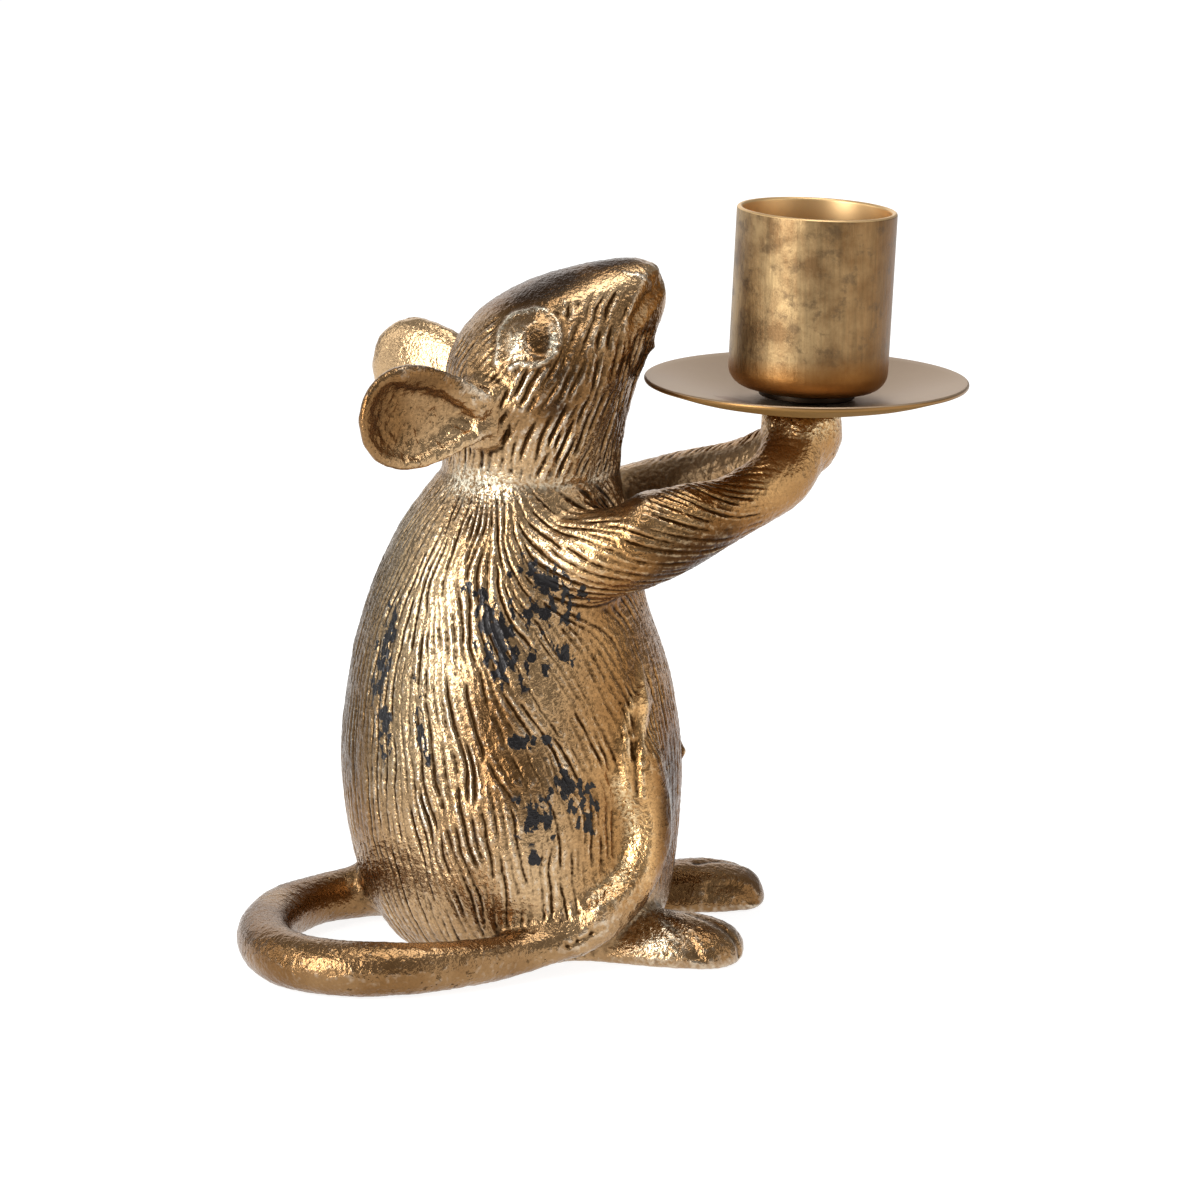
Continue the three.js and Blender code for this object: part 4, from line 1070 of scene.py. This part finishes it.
# Inner faces and faces that look up get the paler, painted-lit gold.
for face in cup.data.polygons:
    from_axis = face.center - stack_foot
    from_axis -= cup_axis * from_axis.dot(cup_axis)
    within = from_axis.length < (bore + 0.1) * MM and face.normal.dot(cup_axis) > -0.5
    face.material_index = 1 if within or face.normal.dot(cup_axis) > 0.3 else 0

# Washer and slotted screw on the cup's floor: steel, the washer stamped and the screw turned.
# They clamp cup, spacer and pan to the paws.
washer = ring("stamped_screw_washer", "screw_washer", 0.2)
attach(washer, "mouse")
SHANK = 2
HEAD_HIGH = 2.4
SLOT_WIDE = 1
SLOT_DEEP = 1.1
screw_low, screw_high, head_radius = spans("fixing_screw", cup_axis)
crown = HEAD_HIGH / 2
head_low = screw_high - HEAD_HIGH
outline = [(0, screw_low), (SHANK, screw_low), (SHANK, head_low), (head_radius, head_low)]
outline += [*rounded(head_radius - crown, screw_high - crown, crown, 0, 90, 8), (0, screw_high)]
screw = turned("slotted_fixing_screw", outline, cup_axis)
slot_place = stack_foot + cup_axis * (screw_high * MM)
bpy.ops.mesh.primitive_cube_add(size=1, location=slot_place)
slot_tool = bpy.context.active_object
slot_tool.scale = (4 * head_radius * MM, SLOT_WIDE * MM, 2 * SLOT_DEEP * MM)
bpy.context.view_layer.update()
apply_modifier(screw, "BOOLEAN", operation="DIFFERENCE", object=slot_tool, solver="EXACT")
bpy.data.objects.remove(slot_tool)
screw.data.materials.clear()
screw.data.materials.append(steel)
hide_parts("fixing_screw")
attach(screw, "mouse")

# Studio: a white floor that keeps a light shadow, a plain white surround and five soft lamps, the strongest
# on the left in front. The floor glows white only to the camera and in mirrors, not on the object.
AMBIENT = 0.38
FLOOR_GLOW = 0.88
bpy.ops.mesh.primitive_plane_add(size=12, location=(0, 0, 0))
floor = bpy.context.active_object
floor.name = "studio_floor"
# Matt paper: an even white with no gloss.
paper, tree, surface = new_material("matt_white_paper")
seen = add(tree, "LightPath", {}, "Is Camera Ray")
for ray in ("Is Glossy Ray", "Is Transmission Ray"):
    also = add(tree, "LightPath", {}, ray)
    seen = add(tree, "Math", {0: seen, 1: also}, operation="MAXIMUM")
glow = add(tree, "Math", {0: seen, 1: FLOOR_GLOW}, operation="MULTIPLY")
set_inputs(tree, surface, {
    "Base Color": srgb("#a0a0a0"), "Roughness": 1, "Specular IOR Level": 0,
    "Emission Color": srgb("#ffffff"), "Emission Strength": glow,
})
floor.data.materials.append(paper)

world = bpy.data.worlds.new("pale_surround")
bpy.context.scene.world = world
world.use_nodes = True
tree = world.node_tree
tree.nodes["Background"].inputs["Strength"].default_value = AMBIENT
tree.nodes["Background"].inputs["Color"].default_value = srgb("#ffffff")


def soft_lamp(name, place, wide, high, power):
    lamp = bpy.data.lights.new(name, "AREA")
    lamp.shape = "RECTANGLE"
    lamp.size = wide
    lamp.size_y = high
    lamp.energy = power
    lamp_object = bpy.data.objects.new(name, lamp)
    bpy.context.scene.collection.objects.link(lamp_object)
    lamp_object.location = place
    aim = Vector((0, 0, 0.05)) - Vector(place)
    lamp_object.rotation_euler = aim.to_track_quat("-Z", "Y").to_euler()


soft_lamp("key_softbox", (-0.62, -0.66, 0.38), 0.4, 0.75, 8.2)
soft_lamp("side_softbox", (-0.95, 0.1, 0.45), 0.4, 0.7, 1.6)
soft_lamp("top_softbox", (0.1, -0.1, 1.1), 0.6, 0.6, 4.5)
soft_lamp("fill_panel", (0.95, -0.45, 0.35), 0.9, 0.8, 2.2)
soft_lamp("back_panel", (-0.25, 1.1, 0.5), 1.3, 0.7, 2.8)

# Camera: at the mouse's right side, looking down a little, as in the photograph.
CAMERA_FAR = 800
CAMERA_PITCH = 12.6
AIM = Vector((-0.264, MIDDLE, 53))
camera = bpy.data.cameras.new("camera")
camera.lens = 155.3
camera.sensor_width = 36
camera.clip_end = 20
camera_object = bpy.data.objects.new("camera", camera)
bpy.context.scene.collection.objects.link(camera_object)
pitch = math.radians(CAMERA_PITCH)
camera_object.location = (AIM + CAMERA_FAR * Vector((0, -math.cos(pitch), math.sin(pitch)))) * MM
camera_object.rotation_euler = (math.pi / 2 - pitch, 0, 0)
bpy.context.scene.camera = camera_object
bpy.context.scene.view_settings.view_transform = "Standard"
